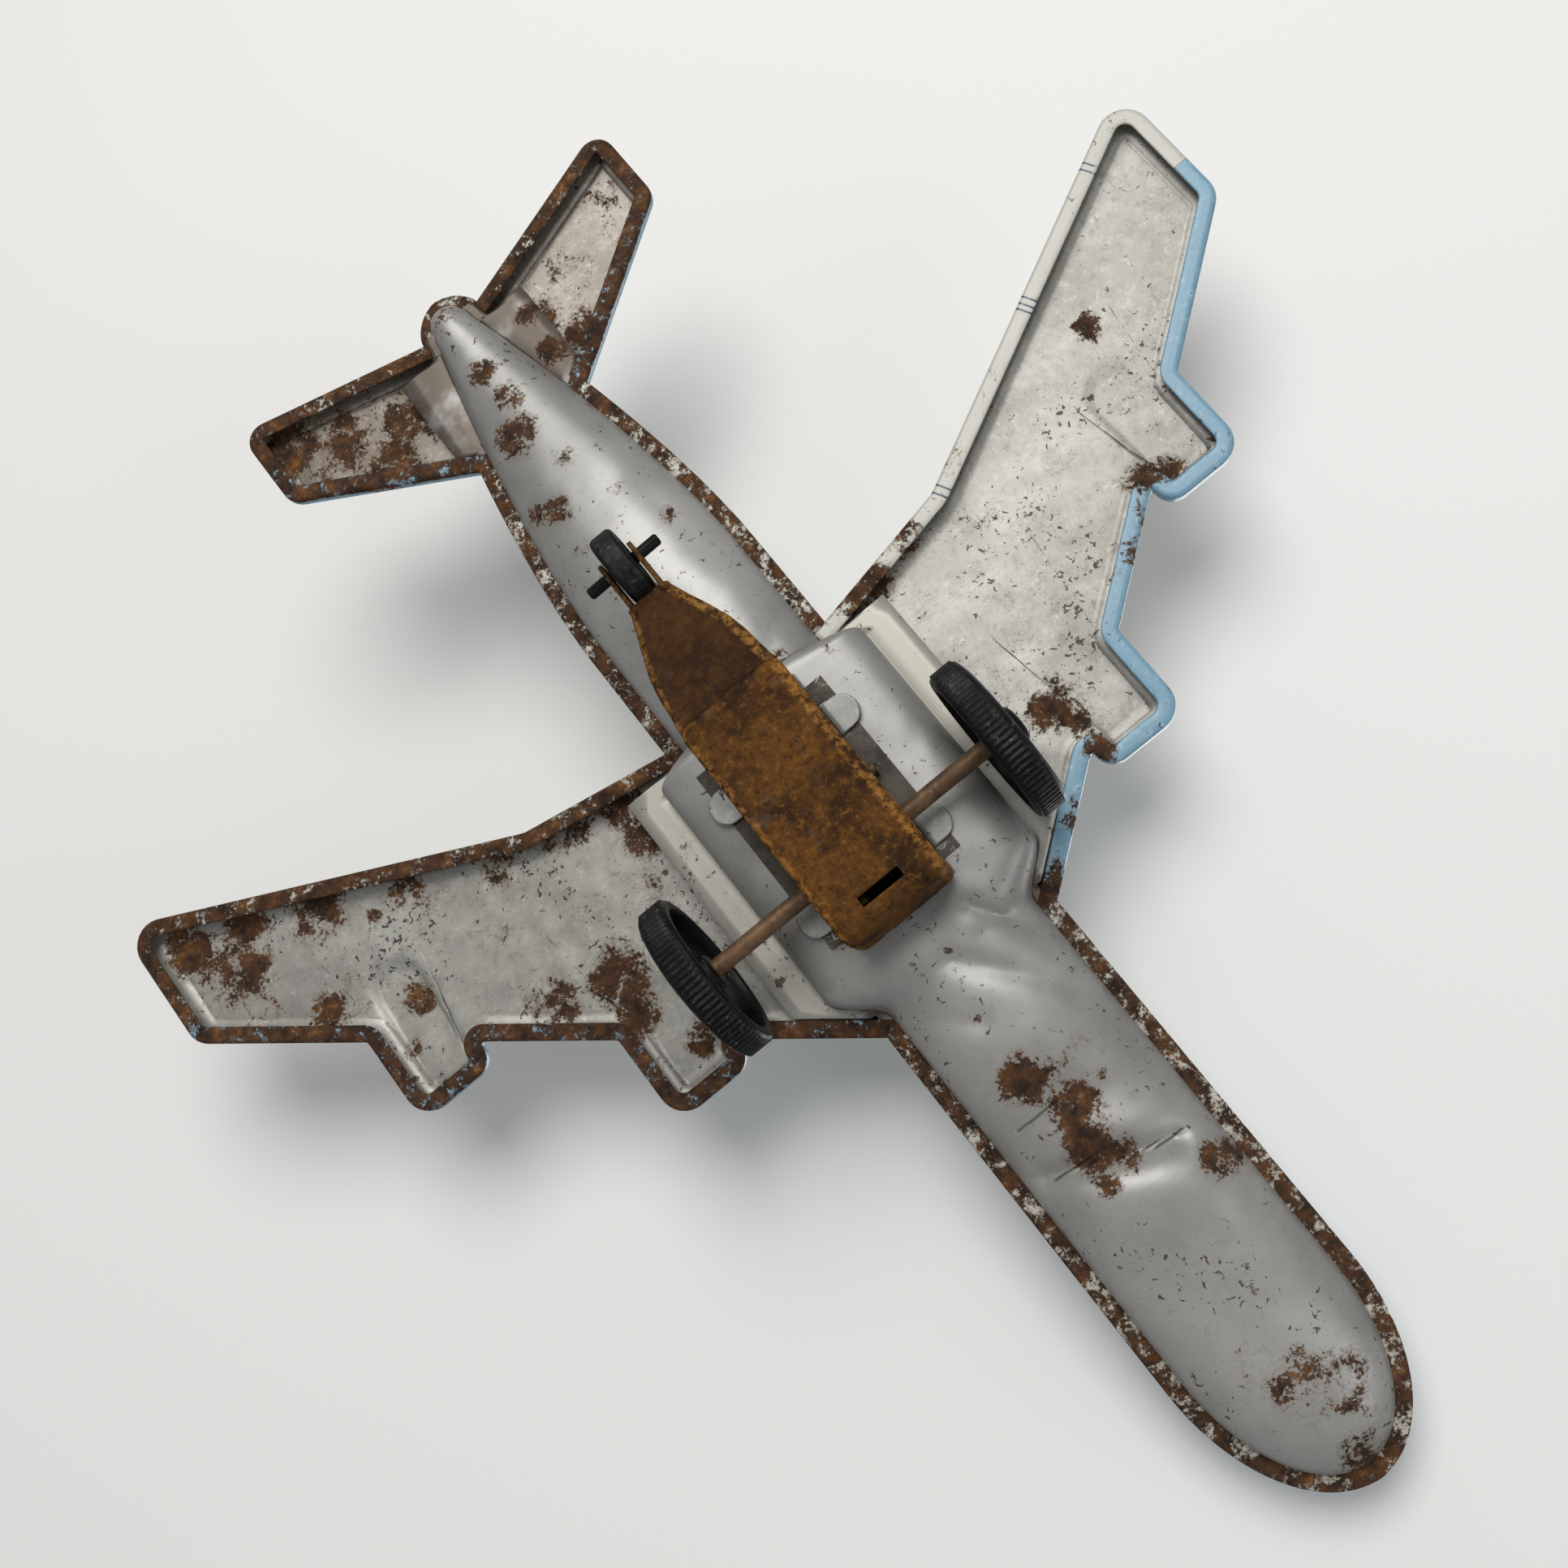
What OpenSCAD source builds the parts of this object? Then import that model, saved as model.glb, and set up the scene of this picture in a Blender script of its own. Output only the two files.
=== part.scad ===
// Push-and-go tin airliner: one pressed upper shell, a belly shell with a flywheel motor, three wheels.
// Frame: +Z up, Z = 0 where the wheels touch the floor, nose towards -Y, port wing towards +X.

/* [Upper shell] */
// Nose tip to the rear corners of the tailplane
toy_length = 214; // [180:1:250]
// Wing tip to wing tip
wing_span = 193.4; // [160:0.2:230]
// Thickness of the pressed tinplate
tin_t = 0.5; // [0.4:0.05:0.7]
// Height of the folded edge above the floor
rim_height = 24.5; // [23.5:0.5:27]
// Half width of the fuselage at its folded edge
fuselage_half_w = 14.8; // [14:0.1:17]
// Height of the fuselage back above the folded edge
back_h = 14; // [11:0.5:18]
// Length of the rounded nose
nose_len = 23; // [18:1:30]
// Distance back from the nose where the back starts to slope down
droop_y = 137; // [130:1:150]
// Distance back from the nose where the sides start to taper
taper_y = 150; // [140:1:160]
// Depth of the wing and tailplane trays
tray_depth = 3; // [2.5:0.1:4]
// Width of the edge folded under all round
hem_w = 2.5; // [2:0.1:3]
// Upward slope of the wings in degrees
wing_dihedral = 1.5; // [0:0.1:3]

/* [Wings] */
// Forward corner of the wing root, measured back from the nose
root_le_y = 80.5; // [75:0.5:90]
// Rear corner of the wing root, measured back from the nose
root_te_y = 131.5; // [126:0.5:140]
// Leading edge sweep, millimetres back for each one out
le_sweep = 0.775; // [0.6:0.005:0.9]
// Distance of the trailing edge kink from the centre line
kink_x = 38; // [32:0.5:46]
// Sweep of the trailing edge inboard of the kink
te_sweep_in = 0.2; // [0:0.01:0.4]
// Sweep of the trailing edge outboard of the kink
te_sweep_out = 0.51; // [0.4:0.01:0.6]
// Radius of the tip and pod corners
corner_r = 4; // [2:0.5:5]
// Distance of the inner pod's outboard side from the centre line
pod_inner_x = 45; // [42:0.5:48]
// Distance of the outer pod's outboard side from the centre line
pod_outer_x = 75; // [70:0.5:78]
// Width of an engine pod
pod_w = 13.5; // [11:0.5:15]
// How far a pod reaches ahead of the leading edge at its outboard side
pod_reach = 14.4; // [12:0.2:17]

/* [Tail] */
// Distance of the tailplane root's leading corner ahead of the rear end
tail_root_len = 30; // [26:0.5:36]
// Half span of the tailplane
tail_half_span = 36.2; // [30:0.2:42]
// Sweep of the tailplane's leading edge
tail_le_sweep = 0.64; // [0.5:0.01:0.75]
// Sweep of the tailplane's trailing edge
tail_te_sweep = 0.3; // [0.2:0.01:0.4]
// How far the tailplane's rear corners reach behind the tail cone
tail_overhang = 4; // [3:0.5:8]
// Height of the fin above the fuselage back
fin_h = 27; // [20:1:36]
// Length of the fin at its root
fin_root = 34; // [28:1:40]
// Length of the fin at its tip
fin_tip = 14; // [10:1:18]

/* [Belly] */
// Depth of the belly under the folded edge
belly_depth = 7.5; // [6:0.1:8]
// Depth of the belly at the tail cone
tail_depth = 4.5; // [3.5:0.1:5.5]
// Half width of the flat belly panel at the wing roots
panel_half_w = 17.6; // [16.5:0.1:19]
// Reach of the root flaps from the centre line
flap_x = 23.5; // [21:0.5:26]
// Reach of the tail flaps from the centre line
tail_flap_x = 12; // [10:0.5:14]

/* [Motor] */
// Sideways place of the motor
motor_x = 1.5; // [0:0.1:2]
// Distance between the frame plates' outer faces
motor_w = 15.2; // [14.6:0.1:16]
// Thickness of the frame plates and the cover
plate_t = 0.6; // [0.5:0.05:0.8]
// Distance of the main axle behind the wing root's leading corner
axle_back = 20; // [18:0.5:22]
// Gap between the axle's gear and the cover under it
cover_gap = 0.35; // [0.3:0.05:0.8]
// Gap between the axle's gear and the cover in front of it
front_gap = 2.15; // [1.8:0.05:3]
// Space behind the flywheel
rear_gap = 1.2; // [1:0.1:2]
// Width of the frame flanges that lie on the belly
flange_w = 3.4; // [3:0.1:4]
// Tail arm's width at its fork
fork_w = 5.6; // [5.2:0.1:6.4]

/* [Gears] */
// Module of the gear teeth
gear_module = 0.5; // [0.5:0.01:0.52]
// Teeth of the gear on the wheel axle
axle_teeth = 26; // [24:1:26]
// Teeth of the pinion on the intermediate shaft
mid_pinion_teeth = 10; // [10:1:11]
// Teeth of the intermediate gear
mid_gear_teeth = 28; // [25:1:28]
// Teeth of the flywheel pinion
fly_pinion_teeth = 8; // [8:1:9]
// Radius of the flywheel
flywheel_r = 7.7; // [6:0.1:7.8]
// Thickness of the flywheel
flywheel_w = 6.2; // [5:0.1:6.4]

/* [Wheels and shafts] */
// Radius of the main wheels over the tread
wheel_r = 11.8; // [11.4:0.1:12.4]
// Width of a main wheel's tread
wheel_w = 4.4; // [4:0.1:5.5]
// Distance between the middles of the main wheels
track = 49.2; // [46:0.2:54]
// How far the axle has slid to port in its bearings
axle_slide = 1.2; // [0:0.1:2]
// Radius of the wheel axle
axle_r = 1.25; // [1.1:0.05:1.4]
// Radius of the intermediate and flywheel shafts
shaft_r = 0.9; // [0.8:0.05:1]
// Radius of the tail wheel
tail_wheel_r = 5.4; // [5:0.1:5.8]
// Width of the tail wheel
tail_wheel_w = 3.6; // [3.2:0.1:4]
// Distance of the tail wheel behind the main axle
wheelbase = 48.8; // [46:0.2:51]
// Radius of the tail wheel's own stub axles
stub_r = 0.85; // [0.7:0.05:0.95]
// Gap round each turning shaft
running_gap = 0.05; // [0.03:0.01:0.1]

/* [Hidden] */
$fn = 48;
eps = 0.01;

// places along the toy
nose_y = -toy_length / 2;
nose_end = nose_y + nose_len;
cone_y = toy_length / 2 - tail_overhang;
cone_len = 6;
cone_start = cone_y - cone_len;
taper_start = nose_y + taper_y;
taper_beyond = 13;
taper_len = cone_y - taper_start + taper_beyond;
taper_power = 1.6;
droop_start = nose_y + droop_y;
wing_le = nose_y + root_le_y;
wing_te = nose_y + root_te_y;
tail_le = toy_length / 2 - tail_root_len;
half_span = wing_span / 2;
beyond = 2 * toy_length;
belly_z = rim_height - belly_depth;

// motor places: Y and Z of each shaft
mesh_rise = 25;
addendum = 0.7;
function gear_tip(z) = gear_module * (z / 2 + addendum);
axle_y = wing_le + axle_back;
axle_z = wheel_r;
mid_cd = gear_module * (axle_teeth + mid_pinion_teeth) / 2;
fly_cd = gear_module * (mid_gear_teeth + fly_pinion_teeth) / 2;
mid_y = axle_y + mid_cd * cos(mesh_rise);
mid_z = axle_z + mid_cd * sin(mesh_rise);
fly_y = mid_y + fly_cd * cos(mesh_rise);
fly_z = mid_z + fly_cd * sin(mesh_rise);
tail_y = axle_y + wheelbase;
tail_z = tail_wheel_r;
cover_z = axle_z - gear_tip(axle_teeth) - cover_gap - plate_t;
front_y = axle_y - gear_tip(axle_teeth) - front_gap;
rear_y = fly_y + flywheel_r + rear_gap;
plate_over = 5;
plate_top = fly_z + plate_over;
inner_w = motor_w - 2 * plate_t;
axle_x = motor_x + axle_slide;

// lanes across the motor, from its middle
lane_gap = 0.6;
washer_t = 0.5;
drive_face = 2.2;
mid_face = 1.8;
pinion_extra = 0.4;
drive_lane = inner_w / 2 - 1.5 - lane_gap - drive_face / 2;
mid_lane = drive_lane - drive_face / 2 - pinion_extra / 2 - lane_gap - mid_face / 2;
fly_lane = mid_lane - mid_face / 2 - pinion_extra / 2 - lane_gap - flywheel_w / 2;

// share of the full section left at y, near the nose and near the tail cone
function nose_share(y, inset) = sqrt(max(0, 1 - pow(max(0, nose_end - y) / (nose_len - inset), 2)));
function cone_share(y, inset) = sqrt(max(0, 1 - pow(max(0, y - cone_start) / (cone_len - inset), 2)));
function taper(y) = fuselage_half_w * (1 - pow(max(0, y - taper_start) / taper_len, taper_power));
// half width of the fuselage at y, inset all round
function fuselage_w(y, inset) = (taper(min(y, cone_start)) - inset)
    * nose_share(y, inset) * cone_share(y, inset);
function smooth(a, b, y) = let (t = min(1, max(0, (y - a) / (b - a)))) t * t * (3 - 2 * t);

// fuselage back: height above the hem
back_power = 2.1;
tail_droop = 0.35;
function back_z(y, inset) = (back_h * (1 - tail_droop * smooth(droop_start, cone_y, y)) - inset)
    * nose_share(y, inset) * cone_share(y, inset);

// belly: inset from the hem, widened to a flat panel between the wing roots
belly_inset = hem_w + 0.3;
edge_z = rim_height + tin_t;
panel_front = wing_le + 9;
panel_ramp = 7;
panel_rear = wing_te - 5.6;
panel_step = 3;
round_power = 2.3;
square_power = 5.5;
function panel_share(y) = smooth(panel_front - panel_ramp, panel_front, y)
    * (1 - smooth(panel_rear, panel_rear + panel_step, y));
function belly_w(y, inset) = let (s = panel_share(y))
    fuselage_w(y, belly_inset + inset) * (1 - s) + (panel_half_w - inset) * s;
function belly_d(y, inset) = (edge_z + tin_t - belly_z - inset
    + (tail_depth - belly_depth) * smooth(droop_start, cone_y, y))
    * nose_share(y, belly_inset + inset) * cone_share(y, belly_inset + inset);
function belly_power(y) = round_power + (square_power - round_power) * panel_share(y);

// stations along the fuselage, close together where it rounds off
station_step = 4.6;
nose_steps = 8;
cone_steps = 4;
tip_gap = 0.05;
function stations(inset) = let (a = nose_len - inset - tip_gap, c = cone_len - inset - tip_gap,
    key = [nose_end, wing_le, wing_le + hem_w, wing_te - hem_w, wing_te, tail_le, tail_le + hem_w,
        cone_start]) concat([for (i = [0:nose_steps - 1]) nose_end - a * cos(90 * i / nose_steps)],
        [for (k = [0:len(key) - 2]) let (n = ceil((key[k + 1] - key[k]) / station_step))
            for (i = [0:n - 1]) key[k] + (key[k + 1] - key[k]) * i / n],
        [for (i = [0:cone_steps]) cone_start + c * sin(90 * i / cone_steps)]);

// one ring of a sheet: half a superellipse in XZ, left open below the height given
section_steps = 14;
open_limit = 0.9;
function ring(y, w, h, power, sign, z0, open_h) = let (a0 = asin(pow(min(open_limit, open_h / h), power / 2)))
    [for (i = [0:section_steps])
    let (a = a0 + (180 - 2 * a0) * i / section_steps, c = cos(a), s = max(0, sin(a)))
    [w * (c < 0 ? -1 : 1) * pow(abs(c), 2 / power), y, z0 + sign * h * pow(s, 2 / power)]];

// a closed sheet: outer and inner rings joined along the open edge and at both ends; a belly's rings run
// the other way round, so its faces are turned
module sheet(outer, inner, is_belly) {
    n = len(outer);
    m = section_steps + 1;
    function o(i, j) = i * m + j;
    function k(i, j) = (n + i) * m + j;
    faces = concat(
        [for (i = [0:n - 2], j = [0:m - 2]) each [[o(i, j), o(i, j + 1), o(i + 1, j + 1)],
            [o(i, j), o(i + 1, j + 1), o(i + 1, j)]]],
        [for (i = [0:n - 2], j = [0:m - 2]) each [[k(i, j), k(i + 1, j + 1), k(i, j + 1)],
            [k(i, j), k(i + 1, j), k(i + 1, j + 1)]]],
        [for (i = [0:n - 2]) each [[o(i, 0), o(i + 1, 0), k(i + 1, 0)], [o(i, 0), k(i + 1, 0), k(i, 0)]]],
        [for (i = [0:n - 2]) each [[o(i + 1, m - 1), o(i, m - 1), k(i, m - 1)],
            [o(i + 1, m - 1), k(i, m - 1), k(i + 1, m - 1)]]],
        [[o(0, m - 1), o(0, 0), k(0, 0), k(0, m - 1)],
            [o(n - 1, 0), o(n - 1, m - 1), k(n - 1, m - 1), k(n - 1, 0)],
            [for (j = [m - 1:-1:0]) o(0, j)], [for (j = [0:m - 1]) o(n - 1, j)],
            [for (j = [0:m - 1]) k(0, j)], [for (j = [m - 1:-1:0]) k(n - 1, j)]]);
    polyhedron([for (r = outer) each r, for (r = inner) each r],
        is_belly ? [for (f = faces) [for (i = [len(f) - 1:-1:0]) f[i]]] : faces);
}

// plan outline of a shape whose half width at y is given: both sides of one list
function both_sides(list) = concat(list, [for (i = [len(list) - 1:-1:0]) [-list[i][0], list[i][1]]]);
module fuselage_plan(inset) {
    polygon(both_sides([for (y = stations(inset)) [max(tip_gap, fuselage_w(y, inset)), y]]));
}
module belly_plan(inset) {
    polygon(both_sides([for (y = stations(belly_inset + inset)) [max(tip_gap, belly_w(y, inset)), y]]));
}

// both: repeats its children on the other side
module both() {
    children();
    mirror([1, 0, 0]) children();
}
module round_corners(r) {
    offset(r = r, $fn = 24) offset(delta = -r) children();
}
function le_at(x) = wing_le + le_sweep * (x - fuselage_half_w);
function te_at(x) = wing_te + te_sweep_in * (min(x, kink_x) - fuselage_half_w)
    + te_sweep_out * max(0, x - kink_x);
tail_root_x = 10.7;
tail_corner_r = corner_r - 1;
function tail_le_at(x) = tail_le + tail_le_sweep * (x - tail_root_x);
function tail_te_at(x) = toy_length / 2 - tail_te_sweep * (tail_half_span - x)
    + tail_corner_r * (tail_te_sweep + sqrt(1 + tail_te_sweep * tail_te_sweep) - 1);

// plan of the port wing with its two pods, from x = root outwards
module pod_plan(side_x) {
    translate([side_x - pod_w, le_at(side_x) - pod_reach]) square([pod_w, pod_reach + corner_r]);
}
module wing_plan(root) {
    round_corners(corner_r) union() {
        polygon([[root - corner_r, le_at(root - corner_r)], [half_span, le_at(half_span)],
            [half_span, te_at(half_span)], [kink_x, te_at(kink_x)],
            [root - corner_r, te_at(root - corner_r)]]);
        pod_plan(pod_inner_x);
        pod_plan(pod_outer_x);
    }
}
module tail_plan(root) {
    round_corners(tail_corner_r) polygon([[root, tail_le_at(root)],
        [tail_half_span, tail_le_at(tail_half_span)],
        [tail_half_span, tail_te_at(tail_half_span)], [root, tail_te_at(root)]]);
}

// a shallow tray, open underneath inside its folded hem; the inner outline runs on through the root
module tray(root) {
    difference() {
        linear_extrude(tray_depth) intersection() {
            children(0);
            translate([root, -toy_length]) square([wing_span, beyond]);
        }
        translate([0, 0, tin_t]) linear_extrude(tray_depth - 2 * tin_t) offset(delta = -tin_t) children(0);
        translate([0, 0, -eps]) linear_extrude(tin_t + 2 * eps) offset(delta = -hem_w) children(0);
    }
}
wing_root = fuselage_half_w - 1;
tail_root = 5;
wing_run_in = 12;
tail_run_in = 9;

module wing() {
    translate([wing_root, 0, rim_height]) rotate([0, -wing_dihedral, 0]) translate([-wing_root, 0, 0])
        tray(wing_root) wing_plan(wing_root - wing_run_in);
}
module tailplane() {
    translate([0, 0, rim_height]) tray(tail_root) tail_plan(tail_root - tail_run_in);
}

// the fuselage side is open under the wing and tailplane roots
root_open = tray_depth - tin_t;
function open_h(y) = root_open
    * (smooth(wing_le, wing_le + hem_w, y) * (1 - smooth(wing_te - hem_w, wing_te, y))
    + smooth(tail_le, tail_le + hem_w, y) * (1 - smooth(cone_start, cone_start + hem_w, y)));
module upper_fuselage() {
    function rings(inset) = [for (y = stations(inset))
        ring(y, fuselage_w(y, inset), back_z(y, inset), back_power, 1, rim_height, open_h(y))];
    sheet(rings(0), rings(tin_t), false);
}
// fuselage hem, left out under the wing and tailplane roots
module fuselage_hem() {
    translate([0, 0, rim_height]) linear_extrude(tin_t) difference() {
        fuselage_plan(0);
        fuselage_plan(hem_w);
        translate([-half_span, wing_le + hem_w]) square([wing_span, wing_te - wing_le - 2 * hem_w]);
        translate([-half_span, tail_le + hem_w]) square([wing_span, cone_start - tail_le - 2 * hem_w]);
    }
}
module upper_shell() color("#cfc6b4") difference() {
    union() {
        upper_fuselage();
        fuselage_hem();
        difference() {
            both() {
                wing();
                tailplane();
            }
            linear_extrude(beyond) fuselage_plan(tin_t);
        }
    }
    fin_slots(slot_fit);
}

// two slots in the fuselage back and the fin's tabs in them
slot_fit = 0.15;
fin_t = 2 * tin_t;
fin_y = cone_y - fin_root - 3;
fin_tab_len = 5;
fin_tab_drop = 3;
fin_rake = 3;
module fin_slots(gap) {
    for (y = [fin_y + fin_tab_len, fin_y + fin_root - 2 * fin_tab_len])
        translate([-fin_t / 2 - gap, y - gap, rim_height + fin_tab_drop - gap])
            cube([fin_t + 2 * gap, fin_tab_len + 2 * gap, back_h]);
}
// the fin's foot follows the back
fin_top = rim_height + back_h + fin_h;
fin_end = fin_y + fin_root;
back_line = [for (y = stations(0)) [y, rim_height + back_z(y, 0)]];
fin_foot = [[fin_y, lookup(fin_y, back_line)], for (p = back_line) if (p[0] > fin_y && p[0] < fin_end) p,
    [fin_end, lookup(fin_end, back_line)]];
module in_yz(w) {
    rotate([90, 0, 90]) translate([0, 0, -w / 2]) linear_extrude(w) children();
}
module tail_fin() color("#8fb8cf") union() {
    in_yz(fin_t) polygon(concat(fin_foot, [[fin_end + fin_rake, fin_top - fin_rake],
        [fin_end + fin_rake / 3, fin_top], [fin_end - fin_tip, fin_top]]));
    intersection() {
        fin_slots(0);
        in_yz(fin_t) polygon(concat(fin_foot, [[fin_end, rim_height], [fin_y, rim_height]]));
    }
}

// belly panel opening, clear of the frame plates
opening_gap = 0.4;
shell_gap = 0.2;
tab_w = 5;
tab_reach = 4.6;
tab_y = [front_y + 6.4, rear_y - 8.2];
tab_neck = 0.9;
slot_gap = 0.5;
flange_z = belly_z - plate_t;
wall_x = motor_w / 2;

module flap_plan() {
    intersection() {
        offset(delta = -hem_w - shell_gap) wing_plan(wing_root - wing_run_in);
        translate([0, -toy_length]) square([flap_x, beyond]);
    }
    intersection() {
        offset(delta = -hem_w - shell_gap) tail_plan(tail_root - tail_run_in);
        square([tail_flap_x, toy_length]);
    }
}

module mounting_tab() {
    // neck up through the flange's slot, and the leaf folded out over the flange
    translate([0, -tab_w / 2, flange_z - tin_t]) cube([tab_neck, tab_w, plate_t + 2 * tin_t]);
    translate([0, 0, flange_z - tin_t]) linear_extrude(tin_t) {
        translate([0, -tab_w / 2]) square([tab_reach - tab_w / 2, tab_w]);
        translate([tab_reach - tab_w / 2, 0]) circle(d = tab_w);
    }
}

function belly_rings(inset) = [for (y = stations(belly_inset + inset))
    ring(y, belly_w(y, inset), belly_d(y, inset), belly_power(y), -1, edge_z + tin_t, 0)];
module lower_shell() color("#a9adb0") union() {
    difference() {
        union() {
            sheet(belly_rings(0), belly_rings(tin_t), true);
            translate([0, 0, edge_z]) linear_extrude(tin_t) difference() {
                union() {
                    fuselage_plan(tin_t + shell_gap);
                    both() flap_plan();
                }
                belly_plan(tin_t / 2);
            }
        }
        translate([motor_x - wall_x - opening_gap, front_y - opening_gap, 0])
            cube([motor_w + 2 * opening_gap, rear_y - front_y + 2 * opening_gap, edge_z - eps]);
        // room for the ends of the shafts
        for (p = [[mid_y, mid_z], [fly_y, fly_z]])
            bore(p[0], p[1], shaft_r + opening_gap, motor_x, motor_w + 2 * shaft_proud + 2 * opening_gap);
    }
    for (y = tab_y, s = [-1, 1])
        translate([motor_x, y, 0]) mirror([s < 0 ? 1 : 0, 0, 0])
            translate([wall_x + opening_gap, 0, 0]) mounting_tab();
}

// a round bore along X, w long, centred at x0; and a rod along X from x0 to x1
module bore(y, z, r, x0, w) {
    translate([x0, y, z]) rotate([0, 90, 0]) cylinder(r = r, h = w, center = true);
}
module rod(y, z, r, x0, x1) {
    translate([x0, y, z]) rotate([0, 90, 0]) cylinder(r = r, h = x1 - x0);
}

// frame plate in YZ, with the flange that lies on the belly
plate_r = 3;
plate_rear = rear_y - plate_t;
plate_rake = 2;
shoulder_z = belly_z + 6;
cover_seat = cover_z + plate_t;
module plate_outline() {
    hull() {
        translate([front_y + plate_r, cover_seat + plate_r]) circle(plate_r);
        translate([plate_rear - plate_r, cover_seat]) square(plate_r);
        translate([plate_rear - plate_r, plate_top - plate_r]) circle(plate_r);
        translate([front_y + plate_r + plate_rake, shoulder_z]) circle(plate_r);
    }
}
flange_front = front_y + 2;
flange_rear = rear_y - 2.2;
bore_len = 4;
module frame_plate(side) {
    x = motor_x + side * (wall_x - plate_t / 2);
    color("#5b544c") difference() {
        union() {
            translate([x, 0, 0]) in_yz(plate_t) plate_outline();
            translate([motor_x + (side > 0 ? wall_x - plate_t : -wall_x - flange_w), flange_front, flange_z])
                cube([flange_w + plate_t, flange_rear - flange_front, plate_t]);
        }
        for (y = tab_y)
            translate([motor_x + side * (wall_x + opening_gap + tab_neck / 2), y, flange_z + plate_t / 2])
                cube([tab_neck + 2 * slot_gap, tab_w + 2 * slot_gap, 2 * plate_t], center = true);
        bore(axle_y, axle_z, axle_r + running_gap, x, bore_len);
        bore(mid_y, mid_z, shaft_r + running_gap, x, bore_len);
        bore(fly_y, fly_z, shaft_r + running_gap, x, bore_len);
        for (p = pillars) bore(p[0], p[1], rivet_r, x, bore_len);
    }
}
module frame_plate_port() frame_plate(1);
module frame_plate_starboard() frame_plate(-1);

// pillars between the plates, riveted over outside them
pillar_r = 1.2;
rivet_r = 0.8;
rivet_head = 0.4;
pillar_edge = 1.8;
rivet_gap = 0.2;
pillars = [[front_y + 3.4, belly_z + rivet_r + rivet_head + rivet_gap],
    [plate_rear - pillar_edge, cover_seat + 3.2],
    [axle_y + 1, plate_top - pillar_edge]];
module pillar(p) color("#6a5d50") {
    rod(p[0], p[1], pillar_r, motor_x - inner_w / 2, motor_x + inner_w / 2);
    rod(p[0], p[1], rivet_r, motor_x - wall_x - eps, motor_x + wall_x + eps);
    for (x = [wall_x, -wall_x - rivet_head])
        rod(p[0], p[1], rivet_r + rivet_head, motor_x + x, motor_x + x + rivet_head);
}
module front_pillar() pillar(pillars[0]);
module rear_pillar() pillar(pillars[1]);
module top_pillar() pillar(pillars[2]);

// cover strip: up round the front, along under the motor, then the tapered tail arm
bend_r = 3;
cover_front = front_y - plate_t;
front_wall_top = belly_z - 1.5;
arm_step = 1;
arm_z = cover_z + arm_step;
arm_lip = 2;
knee_y = rear_y + 9;
knee_half = 6.2;
fork_gap = 0.6;
fork_end = tail_y - tail_wheel_r - fork_gap;
ear_r = 2.2;
ear_t = plate_t;
fork_half = fork_w / 2;
arm_front = rear_y - plate_t;
front_slot = [6.4, 1.3];
slit_w = 6;
module arm_plan(inset) {
    polygon([[wall_x - inset, arm_front], [knee_half - inset, knee_y], [fork_half - inset, fork_end],
        [-fork_half + inset, fork_end], [-knee_half + inset, knee_y], [-wall_x + inset, arm_front]]);
}
module motor_cover() color("#8a4f1c") translate([motor_x, 0, 0]) difference() {
    union() {
        // front wall and bottom, bent from one strip
        in_yz(motor_w) {
            translate([cover_front, cover_z + bend_r]) square([plate_t, front_wall_top - cover_z - bend_r]);
            translate([cover_front + bend_r, cover_z]) square([rear_y - cover_front - bend_r, plate_t]);
            intersection() {
                translate([cover_front + bend_r, cover_z + bend_r]) difference() {
                    circle(bend_r);
                    circle(bend_r - plate_t);
                }
                translate([cover_front, cover_z]) square(bend_r);
            }
        }
        // step up to the arm
        translate([-wall_x, arm_front, cover_z]) cube([motor_w, plate_t, arm_step + plate_t]);
        difference() {
            translate([0, 0, arm_z]) linear_extrude(arm_lip) arm_plan(0);
            translate([0, -eps, arm_z + plate_t]) linear_extrude(arm_lip) arm_plan(plate_t);
            translate([-wall_x, arm_front - eps, arm_z + plate_t]) cube([motor_w, plate_t + eps, arm_lip]);
        }
        // fork ears beside the tail wheel
        for (s = [-1, 1]) translate([s * (fork_half - ear_t / 2), 0, 0]) in_yz(ear_t) hull() {
            translate([fork_end - ear_r, arm_z]) square([1, arm_lip]);
            translate([tail_y, tail_z]) circle(ear_r);
        }
    }
    bore(tail_y, tail_z, stub_r + running_gap, 0, 2 * fork_w);
    // a slot near the front bend, and a slit at the step
    translate([-front_slot[0] / 2, front_y + bend_r - front_slot[1], 0])
        cube([front_slot[0], front_slot[1], cover_seat + eps]);
    translate([-slit_w / 2, arm_front - eps, arm_z - arm_step / 2])
        cube([slit_w, plate_t + 2 * eps, arm_step / 2]);
}

// involute gear of z teeth about the X axis, a tooth or a gap pointing along the angle given
pressure = 25;
dedendum = 1.05;
backlash = 0.05;
function inv(a) = tan(a) * 180 / PI - a;
function flank(z, r) = let (rp = gear_module * z / 2, rb = rp * cos(pressure))
    90 / z - backlash / rp * 90 / PI + inv(pressure) - (r > rb ? inv(acos(rb / r)) : 0);
flank_steps = 4;
function tooth(z, c) = let (rp = gear_module * z / 2, r0 = rp - dedendum * gear_module,
    r1 = gear_tip(z), rs = max(r0, rp * cos(pressure)),
    radii = [r0, for (i = [0:flank_steps]) rs + (r1 - rs) * i / flank_steps])
    [for (i = [0:flank_steps + 1]) [radii[i], c - flank(z, max(rs, radii[i]))],
        for (i = [flank_steps + 1:-1:0]) [radii[i], c + flank(z, max(rs, radii[i]))]];
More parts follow.
